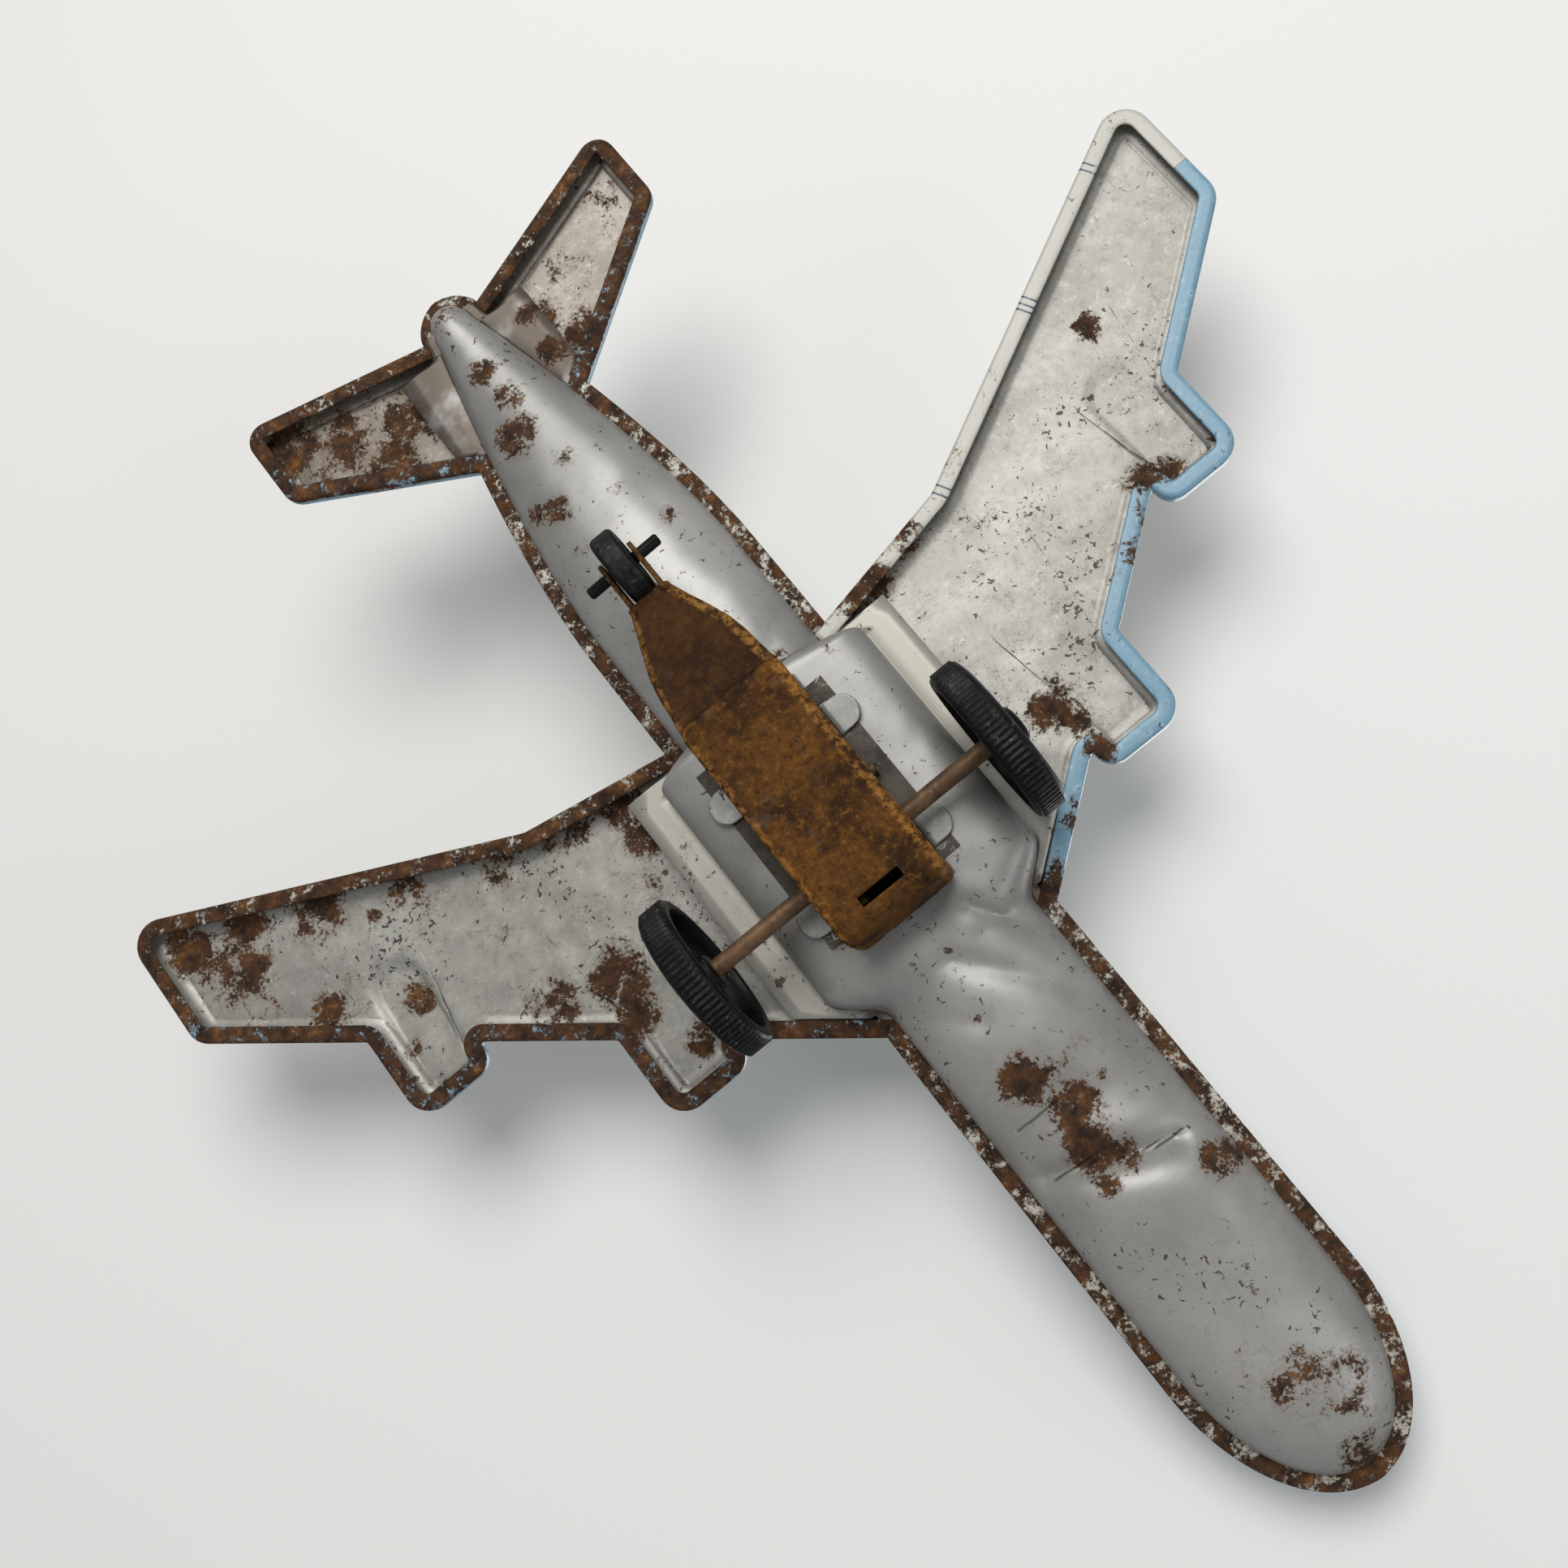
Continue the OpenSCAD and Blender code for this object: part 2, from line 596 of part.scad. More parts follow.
module gear(z, w, bore_r, phase) {
    pts = [for (k = [0:z - 1]) each tooth(z, phase + 360 * k / z)];
    in_yz(w) difference() {
        polygon([for (p = pts) [p[0] * cos(p[1]), p[0] * sin(p[1])]]);
        circle(bore_r);
    }
}
module at(x, y, z) {
    translate([x, y, z]) children();
}

axle_end = track / 2 + 1;
shaft_proud = 1.2;
shaft_tip = opening_gap - 0.1;
washer_r = 2.4;
washer_gap = 0.25;
module main_axle() color("#6b4526") rod(axle_y, axle_z, axle_r, axle_x - axle_end, axle_x + axle_end);
module axle_washers() color("#6f6a62") for (x = [drive_lane + drive_face / 2, -inner_w / 2])
    at(motor_x + x + washer_gap + washer_t / 2, axle_y, axle_z) in_yz(washer_t) difference() {
        circle(washer_r);
        circle(axle_r);
    }
module drive_gear() color("#b09a5a") at(motor_x + drive_lane, axle_y, axle_z)
    gear(axle_teeth, drive_face, axle_r, mesh_rise);
module intermediate_pinion() color("#b09a5a") at(motor_x + drive_lane, mid_y, mid_z)
    gear(mid_pinion_teeth, drive_face + pinion_extra, shaft_r, mesh_rise + 180 + 180 / mid_pinion_teeth);
module intermediate_gear() color("#b09a5a") at(motor_x + mid_lane, mid_y, mid_z)
    gear(mid_gear_teeth, mid_face, shaft_r, mesh_rise);
module flywheel_pinion() color("#b09a5a") at(motor_x + mid_lane, fly_y, fly_z)
    gear(fly_pinion_teeth, mid_face + pinion_extra, shaft_r, mesh_rise + 180 + 180 / fly_pinion_teeth);
module intermediate_shaft() color("#7a4420")
    rod(mid_y, mid_z, shaft_r, motor_x - wall_x - shaft_proud, motor_x + wall_x + shaft_tip);
module flywheel_shaft() color("#7d7a74")
    rod(fly_y, fly_z, shaft_r, motor_x - wall_x - shaft_tip, motor_x + wall_x + shaft_tip);
fly_chamfer = 0.6;
module flywheel() color("#6d6f70") at(motor_x + fly_lane - flywheel_w / 2, fly_y, fly_z) rotate([0, 90, 0])
    rotate_extrude($fn = 64) polygon([[shaft_r, 0], [flywheel_r - fly_chamfer, 0],
        [flywheel_r, fly_chamfer], [flywheel_r, flywheel_w - fly_chamfer],
        [flywheel_r - fly_chamfer, flywheel_w], [shaft_r, flywheel_w]]);

// main wheel: ribbed tread, recessed face inboard, domed hub outboard
rib_count = 84;
rib_depth = 0.3;
rib_edge = 0.5;
shoulder = 0.6;
rim_t = 2;
web_t = 1.2;
boss_r = 2.6;
boss_recess = 0.4;
cap_h = 1.6;
face_h = 0.3;
module wheel(out) {
    half = wheel_w / 2;
    tread_r = wheel_r - rib_depth;
    translate([axle_x + out * track / 2, axle_y, axle_z]) rotate([0, 90 * out, 0]) difference() {
        union() {
            translate([0, 0, rib_edge - half]) linear_extrude(wheel_w - 2 * rib_edge) difference() {
                polygon([for (i = [0:2 * rib_count - 1]) let (r = wheel_r - (i % 2) * rib_depth,
                    a = 180 * i / rib_count) [r * cos(a), r * sin(a)]]);
                circle(wheel_r - rim_t);
            }
            rotate_extrude($fn = 72) polygon([[0, half - web_t], [wheel_r - rim_t, half - web_t],
                [wheel_r - rim_t, -half], [tread_r - shoulder, -half], [tread_r, shoulder - half],
                [tread_r, half - shoulder], [tread_r - shoulder, half], [wheel_r - rim_t, half + face_h],
                [2 * boss_r, half + face_h / 2], [boss_r + face_h, half + cap_h / 2],
                [boss_r - face_h, half + cap_h], [0, half + cap_h]]);
            translate([0, 0, boss_recess - half]) cylinder(r = boss_r, h = wheel_w - boss_recess);
        }
        translate([0, 0, -wheel_w]) cylinder(r = axle_r, h = wheel_w + axle_end - track / 2);
    }
}
module wheel_port() color("#1d1f20") wheel(1);
module wheel_starboard() color("#1d1f20") wheel(-1);

stub_out = 3.2;
face_dish = 0.3;
tail_rim = 1.4;
tail_chamfer = 0.5;
module tail_wheel() color("#1a1b1c") at(motor_x, tail_y, tail_z) rotate([0, 90, 0]) union() {
    rotate_extrude($fn = 56) polygon([for (s = [-1, 1]) each let (h = tail_wheel_w / 2, edge = [
        [0, h - face_dish], [tail_wheel_r - tail_rim, h - face_dish],
        [tail_wheel_r - tail_rim + face_dish, h],
        [tail_wheel_r - tail_chamfer, h], [tail_wheel_r, h - tail_chamfer]])
        [for (i = [0:4]) let (p = edge[s < 0 ? i : 4 - i]) [p[0], s * p[1]]]]);
    cylinder(r = stub_r, h = fork_w + 2 * stub_out, center = true);
}

upper_shell();
lower_shell();
tail_fin();
frame_plate_port();
frame_plate_starboard();
front_pillar();
rear_pillar();
top_pillar();
motor_cover();
main_axle();
axle_washers();
drive_gear();
wheel_port();
wheel_starboard();
intermediate_shaft();
intermediate_pinion();
intermediate_gear();
flywheel_shaft();
flywheel_pinion();
flywheel();
tail_wheel();
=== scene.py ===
import math

import bmesh
import bpy
import numpy as np
from mathutils import Matrix, Vector


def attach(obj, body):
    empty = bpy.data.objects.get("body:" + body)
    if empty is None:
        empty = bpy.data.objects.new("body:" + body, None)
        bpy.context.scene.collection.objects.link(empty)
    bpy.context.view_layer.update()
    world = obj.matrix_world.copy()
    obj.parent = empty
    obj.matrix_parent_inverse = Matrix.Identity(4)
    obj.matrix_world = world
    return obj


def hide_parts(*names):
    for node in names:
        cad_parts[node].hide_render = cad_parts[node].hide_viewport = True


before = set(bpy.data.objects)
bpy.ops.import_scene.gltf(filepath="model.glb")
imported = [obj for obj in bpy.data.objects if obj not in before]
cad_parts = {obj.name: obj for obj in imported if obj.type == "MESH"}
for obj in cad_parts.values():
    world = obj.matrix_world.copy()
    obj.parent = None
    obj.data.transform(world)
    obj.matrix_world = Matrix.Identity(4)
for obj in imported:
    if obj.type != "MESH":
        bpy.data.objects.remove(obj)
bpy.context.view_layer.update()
print("frame loaded:", len(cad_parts), "nodes")

# lengths below are in millimetres, as on the drawing; meshes are written in metres
mm = 0.001

toy = {
    "tin": 0.5,  # sheet thickness
    "rimZ": 24.5,  # underside of the folded hem
    "hem": 2.5,  # width of the folded hem
    "noseY": -107.0,
    "noseEnd": -84.0,
    "noseLen": 23.0,
    "coneY": 103.0,
    "coneStart": 97.0,
    "coneLen": 6.0,
    "halfWidth": 14.8,
    "taperStart": 43.0,
    "taperLen": 73.0,
    "taperPower": 1.6,
    "backHeight": 14.0,
    "droopStart": 30.0,
    "droop": 0.35,
    "wingLe": -26.5,
    "wingTe": 24.5,
    "tailLe": 77.0,
    "tailTe": 107.0,
    "trayDepth": 3.0,
    "motorX": 1.5,
    "motorRear": 18.714,
    "motorHalf": 7.6,
}


def smooth(a, b, y):
    # smooth step: 0 before a, 1 after b
    t = np.clip((y - a) / (b - a), 0.0, 1.0)
    return t * t * (3.0 - 2.0 * t)


def noseShare(y, inset):
    # quarter circle: sqrt(1 - t^2) over the rounded nose
    t = np.maximum(0.0, toy["noseEnd"] - y) / (toy["noseLen"] - inset)
    return np.sqrt(np.maximum(0.0, 1.0 - t * t))


def coneShare(y, inset):
    t = np.maximum(0.0, y - toy["coneStart"]) / (toy["coneLen"] - inset)
    return np.sqrt(np.maximum(0.0, 1.0 - t * t))


def bodyHalf(y, inset):
    # half width of the fuselage: straight, then a power taper towards the tail
    run = np.maximum(0.0, np.minimum(y, toy["coneStart"]) - toy["taperStart"]) / toy["taperLen"]
    wide = toy["halfWidth"] * (1.0 - run ** toy["taperPower"])
    return (wide - inset) * noseShare(y, inset) * coneShare(y, inset)


def backRise(y, inset):
    # height of the back above the hem, drooping towards the tail
    tall = toy["backHeight"] * (1.0 - toy["droop"] * smooth(toy["droopStart"], toy["coneY"], y))
    return (tall - inset) * noseShare(y, inset) * coneShare(y, inset)


def rippleNoise(x, y, seed, size):
    # sum of eight sine waves in seeded directions, about -1 to 1
    rng = np.random.default_rng(seed)
    total = np.zeros(np.broadcast(x, y).shape)
    for angle, phase, stretch in rng.uniform(0.0, 1.0, (8, 3)):
        turn = 2.0 * math.pi * angle
        wave = (x * math.cos(turn) + y * math.sin(turn)) * (0.6 + stretch) / size
        total = total + np.sin(2.0 * math.pi * (wave + phase))
    return total / 4.0


def spotField(x, y, spots):
    # how rusty each point is: the largest of the spots' soft discs (x, y, radius, strength)
    field = np.zeros(np.broadcast(x, y).shape)
    for sx, sy, radius, strength in spots:
        far = np.hypot(x - sx, y - sy) / radius
        field = np.maximum(field, strength * (1.0 - smooth(0.1, 1.45, far)))
    return field


# mesh helpers
def gridFaces(rows, columns, closeRows=False, closeColumns=False, keep=None):
    # four-sided faces between neighbouring points of a rows x columns grid
    i = np.arange(rows if closeRows else rows - 1)
    j = np.arange(columns if closeColumns else columns - 1)
    a, b = np.meshgrid(i, j, indexing="ij")
    a2 = (a + 1) % rows
    b2 = (b + 1) % columns
    faces = np.stack([a * columns + b, a * columns + b2, a2 * columns + b2, a2 * columns + b], -1)
    faces = faces.reshape(-1, 4)
    if keep is not None:
        faces = faces[keep.reshape(-1)]
    return faces


def makeMesh(name, points, faces, attributes=None, flip=False):
    # points in mm as an (n, 3) array, faces as an (m, 4) array
    points = np.asarray(points, float).reshape(-1, 3)
    if flip:
        faces = faces[:, ::-1]
    mesh = bpy.data.meshes.new(name)
    mesh.vertices.add(len(points))
    mesh.vertices.foreach_set("co", (points * mm).astype(np.float32).ravel())
    mesh.loops.add(faces.size)
    mesh.loops.foreach_set("vertex_index", faces.astype(np.int32).ravel())
    mesh.polygons.add(len(faces))
    mesh.polygons.foreach_set("loop_start", np.arange(0, faces.size, faces.shape[1], dtype=np.int32))
    mesh.update(calc_edges=True)
    for key, values in (attributes or {}).items():
        layer = mesh.attributes.new(key, "FLOAT", "POINT")
        layer.data.foreach_set("value", np.broadcast_to(values, len(points)).astype(np.float32).ravel())
    mesh.polygons.foreach_set("use_smooth", np.ones(len(mesh.polygons), bool))
    piece = bpy.data.objects.new(name, mesh)
    bpy.context.scene.collection.objects.link(piece)
    return piece


def weld(piece, distance=2e-7):
    # joins points that coincide and drops the faces that close up at a pole
    work = bmesh.new()
    work.from_mesh(piece.data)
    bmesh.ops.remove_doubles(work, verts=work.verts, dist=distance)
    bmesh.ops.dissolve_degenerate(work, edges=work.edges, dist=distance)
    loose = [v for v in work.verts if not v.link_faces]
    bmesh.ops.delete(work, geom=loose, context="VERTS")
    work.to_mesh(piece.data)
    work.free()
    piece.data.update()


def thicken(piece, thickness, innerSlot=None):
    # gives a sheet its wall, inwards from the outside face
    wall = piece.modifiers.new("wall", "SOLIDIFY")
    wall.thickness = thickness * mm
    wall.offset = -1.0
    wall.use_quality_normals = True
    if innerSlot is not None:
        wall.material_offset = innerSlot
    return piece


def joinPieces(name, pieces):
    # one mesh from several
    with bpy.context.temp_override(active_object=pieces[0], selected_editable_objects=pieces):
        bpy.ops.object.join()
    pieces[0].name = name
    return pieces[0]


def fillet2d(points, radii, steps=7):
    # polyline with its corners rounded: an arc of the given radius at each inner point
    out = [np.array(points[0], float)]
    for k in range(1, len(points) - 1):
        corner = np.array(points[k], float)
        back = np.array(points[k - 1], float) - corner
        ahead = np.array(points[k + 1], float) - corner
        back /= np.linalg.norm(back)
        ahead /= np.linalg.norm(ahead)
        half = math.acos(np.clip(back @ ahead, -1.0, 1.0)) / 2.0
        if radii[k] <= 0.0:
            out.append(corner)
            continue
        reach = radii[k] / math.tan(half)
        middle = corner + (back + ahead) / np.linalg.norm(back + ahead) * radii[k] / math.sin(half)
        a = corner + back * reach - middle
        b = corner + ahead * reach - middle
        sweep = math.atan2(a[0] * b[1] - a[1] * b[0], a @ b)
        turn = np.linspace(0.0, sweep, steps)
        out.extend(np.stack([middle[0] + a[0] * np.cos(turn) - a[1] * np.sin(turn),
                             middle[1] + a[0] * np.sin(turn) + a[1] * np.cos(turn)], -1))
    out.append(np.array(points[-1], float))
    return np.array(out)


def resample(line, step):
    # the same polyline with extra points so that none are further apart than step
    out = [line[:1]]
    for a, b in zip(line[:-1], line[1:]):
        count = max(1, int(math.ceil(np.linalg.norm(b - a) / step)))
        share = np.arange(1, count + 1)[:, None] / count
        out.append(a + (b - a) * share)
    return np.concatenate(out)


# fuselage half of the upper shell
fuselage = {
    "tipGap": 0.03,  # the end rings stop this short of the poles
    "stations": 230,
    "crowding": 0.44,  # how far the stations gather towards the ends
    "noseStations": 34,
    "coneStations": 16,
    "rootNear": 0.5,  # close stations run from this far outside a root's end
    "rootFar": 3.2,  # to this far inside it
    "rootStep": 0.35,
    "ringPoints": 84,
    "foldRadius": 0.6,  # of the hem's bend
    "backPower": 2.1,
    "noseTrim": 0.991,  # draws the nose back a little, for the wall that is added to it
    "rootOpen": 2.5,  # the side is cut away this high under the wing and tail roots
    "rust": [(-13, -60, 26, 0.75), (13, -50, 20, 0.7), (0, -106, 12, 1.0), (10, -97, 9, 0.9),
             (-12, -86, 12, 0.8), (14, -30, 9, 0.6), (-14, -36, 10, 0.7), (-12, 50, 24, 0.85),
             (12, 56, 22, 0.75), (-9, 76, 9, 1.0), (0, 103, 10, 1.0), (9, 82, 8, 0.8)],
}


def rootOpening(y):
    # 1 under the wing and tailplane roots, 0 elsewhere
    hem = toy["hem"]
    wing = smooth(toy["wingLe"], toy["wingLe"] + hem, y)
    wing = wing * (1 - smooth(toy["wingTe"] - hem, toy["wingTe"], y))
    tail = smooth(toy["tailLe"], toy["tailLe"] + hem, y)
    tail = tail * (1 - smooth(toy["coneStart"], toy["coneStart"] + hem, y))
    return wing + tail


def makeFuselage(style):
    # point(y, a): x = w cos(a)^(2/p), z = rim + h sin(a)^(2/p), with a rounded hem turned in below the rim
    t = np.linspace(0.0, 1.0, style["stations"])
    first, last = toy["noseY"] + style["tipGap"], toy["coneY"] - style["tipGap"]
    y = first + (last - first) * (t - style["crowding"] * np.sin(2 * math.pi * t) / (2 * math.pi))
    turn = np.linspace(0, math.pi / 2, style["noseStations"])
    nose = toy["noseEnd"] - (toy["noseLen"] - style["tipGap"]) * np.cos(turn)
    turn = np.linspace(0, math.pi / 2, style["coneStations"])
    cone = toy["coneStart"] + (toy["coneLen"] - style["tipGap"]) * np.sin(turn)
    near, far = style["rootNear"], style["rootFar"]
    spans = [(toy["wingLe"] - near, toy["wingLe"] + far), (toy["wingTe"] - far, toy["wingTe"] + near),
             (toy["tailLe"] - near, toy["tailLe"] + far)]
    steps = [np.arange(first, last, style["rootStep"]) for first, last in spans]
    middle = y[(y > toy["noseEnd"]) & (y < toy["coneStart"])]
    y = np.unique(np.round(np.concatenate([nose, middle, cone] + steps), 4))
    w = bodyHalf(y, 0.0)[:, None]
    h = backRise(y, 0.0)[:, None]
    cut = rootOpening(y)[:, None]
    inner = bodyHalf(y, toy["hem"])[:, None]
    wobble = 0.12 * rippleNoise(y, 0 * y, 5, 9.0)[:, None]
    inner = np.where(inner > 0.0, np.maximum(inner + wobble, 0.0), 0.0)
    inner = inner * (1 - cut) + (w - 0.62) * cut
    inner = np.clip(inner, 0.0, np.maximum(w - 0.02, 0.0))
    fold = np.minimum(style["foldRadius"], 0.45 * np.minimum(w, h)) * (1 - 0.9 * cut)
    lift = style["rootOpen"] * cut
    # the bent-in hem and the fold, from the inner edge to the side wall
    hemShare = np.array([0.0, 0.12, 0.5, 0.85])[None, :]
    hemX = inner + (np.maximum(w - fold, inner) - inner) * hemShare
    hemZ = lift + 0.10 * np.array([1.0, 0.4, 0.0, 0.0])[None, :] * (1 - cut)
    bend = np.radians([0, 22, 45, 68, 90])[None, :]
    bendX = np.maximum(w - fold, inner) + (w - np.maximum(w - fold, inner)) * np.sin(bend)
    bendZ = lift + fold * (1 - np.cos(bend))
    # the back, from the fold's height up to the middle
    count = style["ringPoints"] // 2
    low = np.clip((lift + fold + 0.02) / np.maximum(h, 1e-4), 0.0, 0.9)
    start = np.arcsin(low ** (style["backPower"] / 2))
    share = np.linspace(0.0, 1.0, count + 1)[None, 1:]
    angle = start + (math.pi / 2 - start) * share
    backX = w * np.abs(np.cos(angle)) ** (2 / style["backPower"])
    backX[:, -1] = 0.0
    backZ = h * np.sin(angle) ** (2 / style["backPower"])
    halfX = np.concatenate([hemX, bendX, backX], 1)
    halfZ = np.concatenate([hemZ, bendZ, np.maximum(backZ, bendZ[:, -1:])], 1)
    x = np.concatenate([halfX, -halfX[:, -2::-1]], 1)
    z = np.concatenate([halfZ, halfZ[:, -2::-1]], 1)
    yy = np.broadcast_to(y[:, None], x.shape)
    # shallow handling dents over the back
    dent = 0.16 * rippleNoise(x, yy, 11, 26.0) * smooth(4.0, 9.0, z)
    scale = 1.0 - np.maximum(0.0, dent) / 16.0
    drawnY = np.where(yy < toy["noseEnd"], toy["noseEnd"] + (yy - toy["noseEnd"]) * style["noseTrim"], yy)
    points = np.stack([x * scale, drawnY, toy["rimZ"] + z * scale], -1)
    rows, columns = x.shape
    rust = spotField(x, yy, style["rust"]) * (1 - smooth(0.5, 6.0, z) * 0.9)
    band = np.zeros((rows, columns))
    band[:, :9] = 1.0
    band[:, -9:] = 1.0
    piece = makeMesh("fuselage_upper", points, gridFaces(rows, columns),
                     {"rust": rust.ravel(), "hem": band.ravel()},
                     flip=True)
    weld(piece)
    print("fuselage_upper:", rows, "stations,", columns, "points round")
    return piece


# wings and tailplanes
wing = {
    "rootX": 12.4,
    "sweep": 0.775,
    "kinkX": 38.0,
    "sweepIn": 0.2,
    "sweepOut": 0.51,
    "halfSpan": 96.7,
    "tipStart": 90.3,  # the spine of the skin ends here
    "cornerR": 4.0,
    "podSides": (45.0, 75.0),  # outboard side of each engine pod
    "podWidth": 13.5,
    "podReach": 14.4,
    "dihedral": 1.5,
    "turnX": 13.8,
    "step": 0.9,
    "rows": 17,
    "plateau": 0.3,
    "podRise": (0.22, 0.75),  # height of the pressed pod outlines, starboard and port
    "rustPort": [(86, 43, 9, 0.95), (86, 36, 8, 0.7), (78, 28, 5, 0.95), (66, 21, 4, 0.95),
                 (71, 16, 3, 0.8), (49, 7, 5, 0.9), (40, 4.5, 7, 1.0), (41, -2, 5, 0.9), (25, 18, 5, 0.9),
                 (24, 23, 6, 0.95), (36, -10, 4, 0.95), (64, 35, 2.2, 0.8), (27, 9, 8, 0.55),
                 # the spots a few mm in from the trailing edge are rust, and partly a painted shadow along
                 # the hem
                 (90, 50, 7, 0.9), (60, 38, 3, 0.5), (48, 18, 10, 0.4), (33, 26, 7, 0.8), (45, 29, 6, 0.7),
                 (57, 35, 7, 0.75), (70, 42, 9, 0.8), (81, 47, 7, 0.9), (72, 30, 14, 0.45),
                 (20, -14, 6, 0.7), (53, 9, 4, 0.7)],
    "rustStarboard": [(71, 34.5, 3.4, 0.9), (31.5, -5.5, 6, 0.95), (33, -9, 4, 0.8), (66, 11, 4, 0.8),
                      (57, 8, 3, 0.55), (36, 20, 5, 0.35), (24, 24, 5, 0.8), (78, 30, 2, 0.4),
                      (50, 3, 3, 0.6), (85, 41, 4, 0.35), (15, -26, 7, 0.9), (24, -19, 4, 0.7),
                      (21, 26, 8, 0.9), (31, 27.5, 5, 0.75), (43, 31, 5, 0.6), (33, -14, 4, 0.85),
                      (54, 4, 4, 0.7), (62, 12, 5, 0.9), (58, 7, 4, 0.7), (75, -1, 3, 0.55),
                      (56, 37, 3, 0.5), (46, -14, 3, 0.6)],
    "hemRustPort": 0.97,
    "hemRustStarboard": 0.3,
}

tailplane = {
    "rootX": 4.6,
    "rootLineX": 10.7,
    "sweep": 0.64,
    "sweepBack": 0.3,
    "halfSpan": 36.2,
    "tipStart": 31.6,
    "cornerR": 3.0,
    "step": 0.8,
    "rows": 13,
    "plateau": 0.22,
    "rustPort": [(24, 97, 9, 0.8), (31, 102, 8, 0.95), (14, 93, 7, 0.95), (20, 88, 8, 0.85),
                 (30, 95, 5, 0.6)],
    "rustStarboard": [(10, 90, 7, 0.9), (15, 85, 6, 0.85), (19, 95, 7, 0.6), (30, 100, 6, 0.6),
                      (26, 91, 5, 0.45)],
    "hemRust": 0.97,
}


def wingLe(x):
    return toy["wingLe"] + wing["sweep"] * (x - toy["halfWidth"])


def wingTe(x):
    inner = wing["sweepIn"] * (np.minimum(x, wing["kinkX"]) - toy["halfWidth"])
    return toy["wingTe"] + inner + wing["sweepOut"] * np.maximum(0.0, x - wing["kinkX"])


def tailLe(x):
    return toy["tailLe"] + tailplane["sweep"] * (x - tailplane["rootLineX"])


def tailTe(x):
    s = tailplane["sweepBack"]
    corner = tailplane["cornerR"] * (s + math.sqrt(1 + s * s) - 1)
    return toy["tailTe"] - s * (tailplane["halfSpan"] - x) + corner


def trayPlan(front, back, tipX, tipStart, cornerR, leCorners, leRadii, step):
    # outline from the root's leading edge, round the tip, to the root's trailing edge,
    # with the point on the spine that each outline point is joined to
    tip = [(tipX, front(tipX)), (tipX, back(tipX))]
    line = leCorners + tip + [(tipStart, back(tipStart))]
    radii = leRadii + [cornerR, cornerR, 0.0]
    smoothLine = resample(fillet2d(line, radii, 9), step)
    lengths = np.linalg.norm(np.diff(smoothLine, axis=0), axis=1)
    smoothLine = smoothLine[np.concatenate([[True], lengths > 1e-3])]
    top = int(np.argmax(smoothLine[:, 0] > tipStart))
    le = smoothLine[:top]
    end = smoothLine[top:]
    te = np.stack([le[::-1, 0], back(le[::-1, 0])], -1)
    outline = np.concatenate([le, end, te])
    path = np.concatenate([smoothLine, [[tipStart - step, back(tipStart - step)]]])
    first = np.gradient(path, axis=0)[:-1]
    slope = (back(te[:, 0] + 0.01) - back(te[:, 0] - 0.01)) / 0.02
    teTurn = np.stack([-np.ones(len(te)), -slope], -1)
    tangent = np.concatenate([first, teTurn])
    tangent /= np.linalg.norm(tangent, axis=1)[:, None]
    normal = np.stack([-tangent[:, 1], tangent[:, 0]], -1)
    spineX = np.minimum(outline[:, 0], tipStart)
    spineX[len(le):len(le) + len(end)] = tipStart
    spine = np.stack([spineX, 0.5 * (front(spineX) + back(spineX))], -1)
    isLe = np.zeros(len(outline))
    isLe[:len(le)] = 1.0
    isLe[len(le):len(le) + len(end)] = end[:, 1] < front(tipX) + 6.5
    return outline, normal, spine, isLe


# cross-section of a tray from the hem's inner edge to the skin: distance in from the outline, height
trayProfile = np.array([[2.5, 0.10], [2.25, 0.02], [1.6, 0.0], [0.9, 0.0], [0.62, 0.0], [0.38, 0.05],
                        [0.18, 0.18],
                        [0.05, 0.38], [0.0, 0.62], [0.0, 1.2], [0.0, 1.75], [0.10, 2.2], [0.34, 2.58],
                        [0.70, 2.85],
                        [1.2, 3.0], [1.9, 3.0], [2.6, 3.0], [3.0, 3.0], [3.35, 3.0]])


def nearSegment(x, y, a, b):
    # distance from each point to the segment a-b
    ax, ay = a
    dx, dy = b[0] - ax, b[1] - ay
    t = np.clip(((x - ax) * dx + (y - ay) * dy) / (dx * dx + dy * dy), 0.0, 1.0)
    return np.hypot(x - ax - t * dx, y - ay - t * dy)


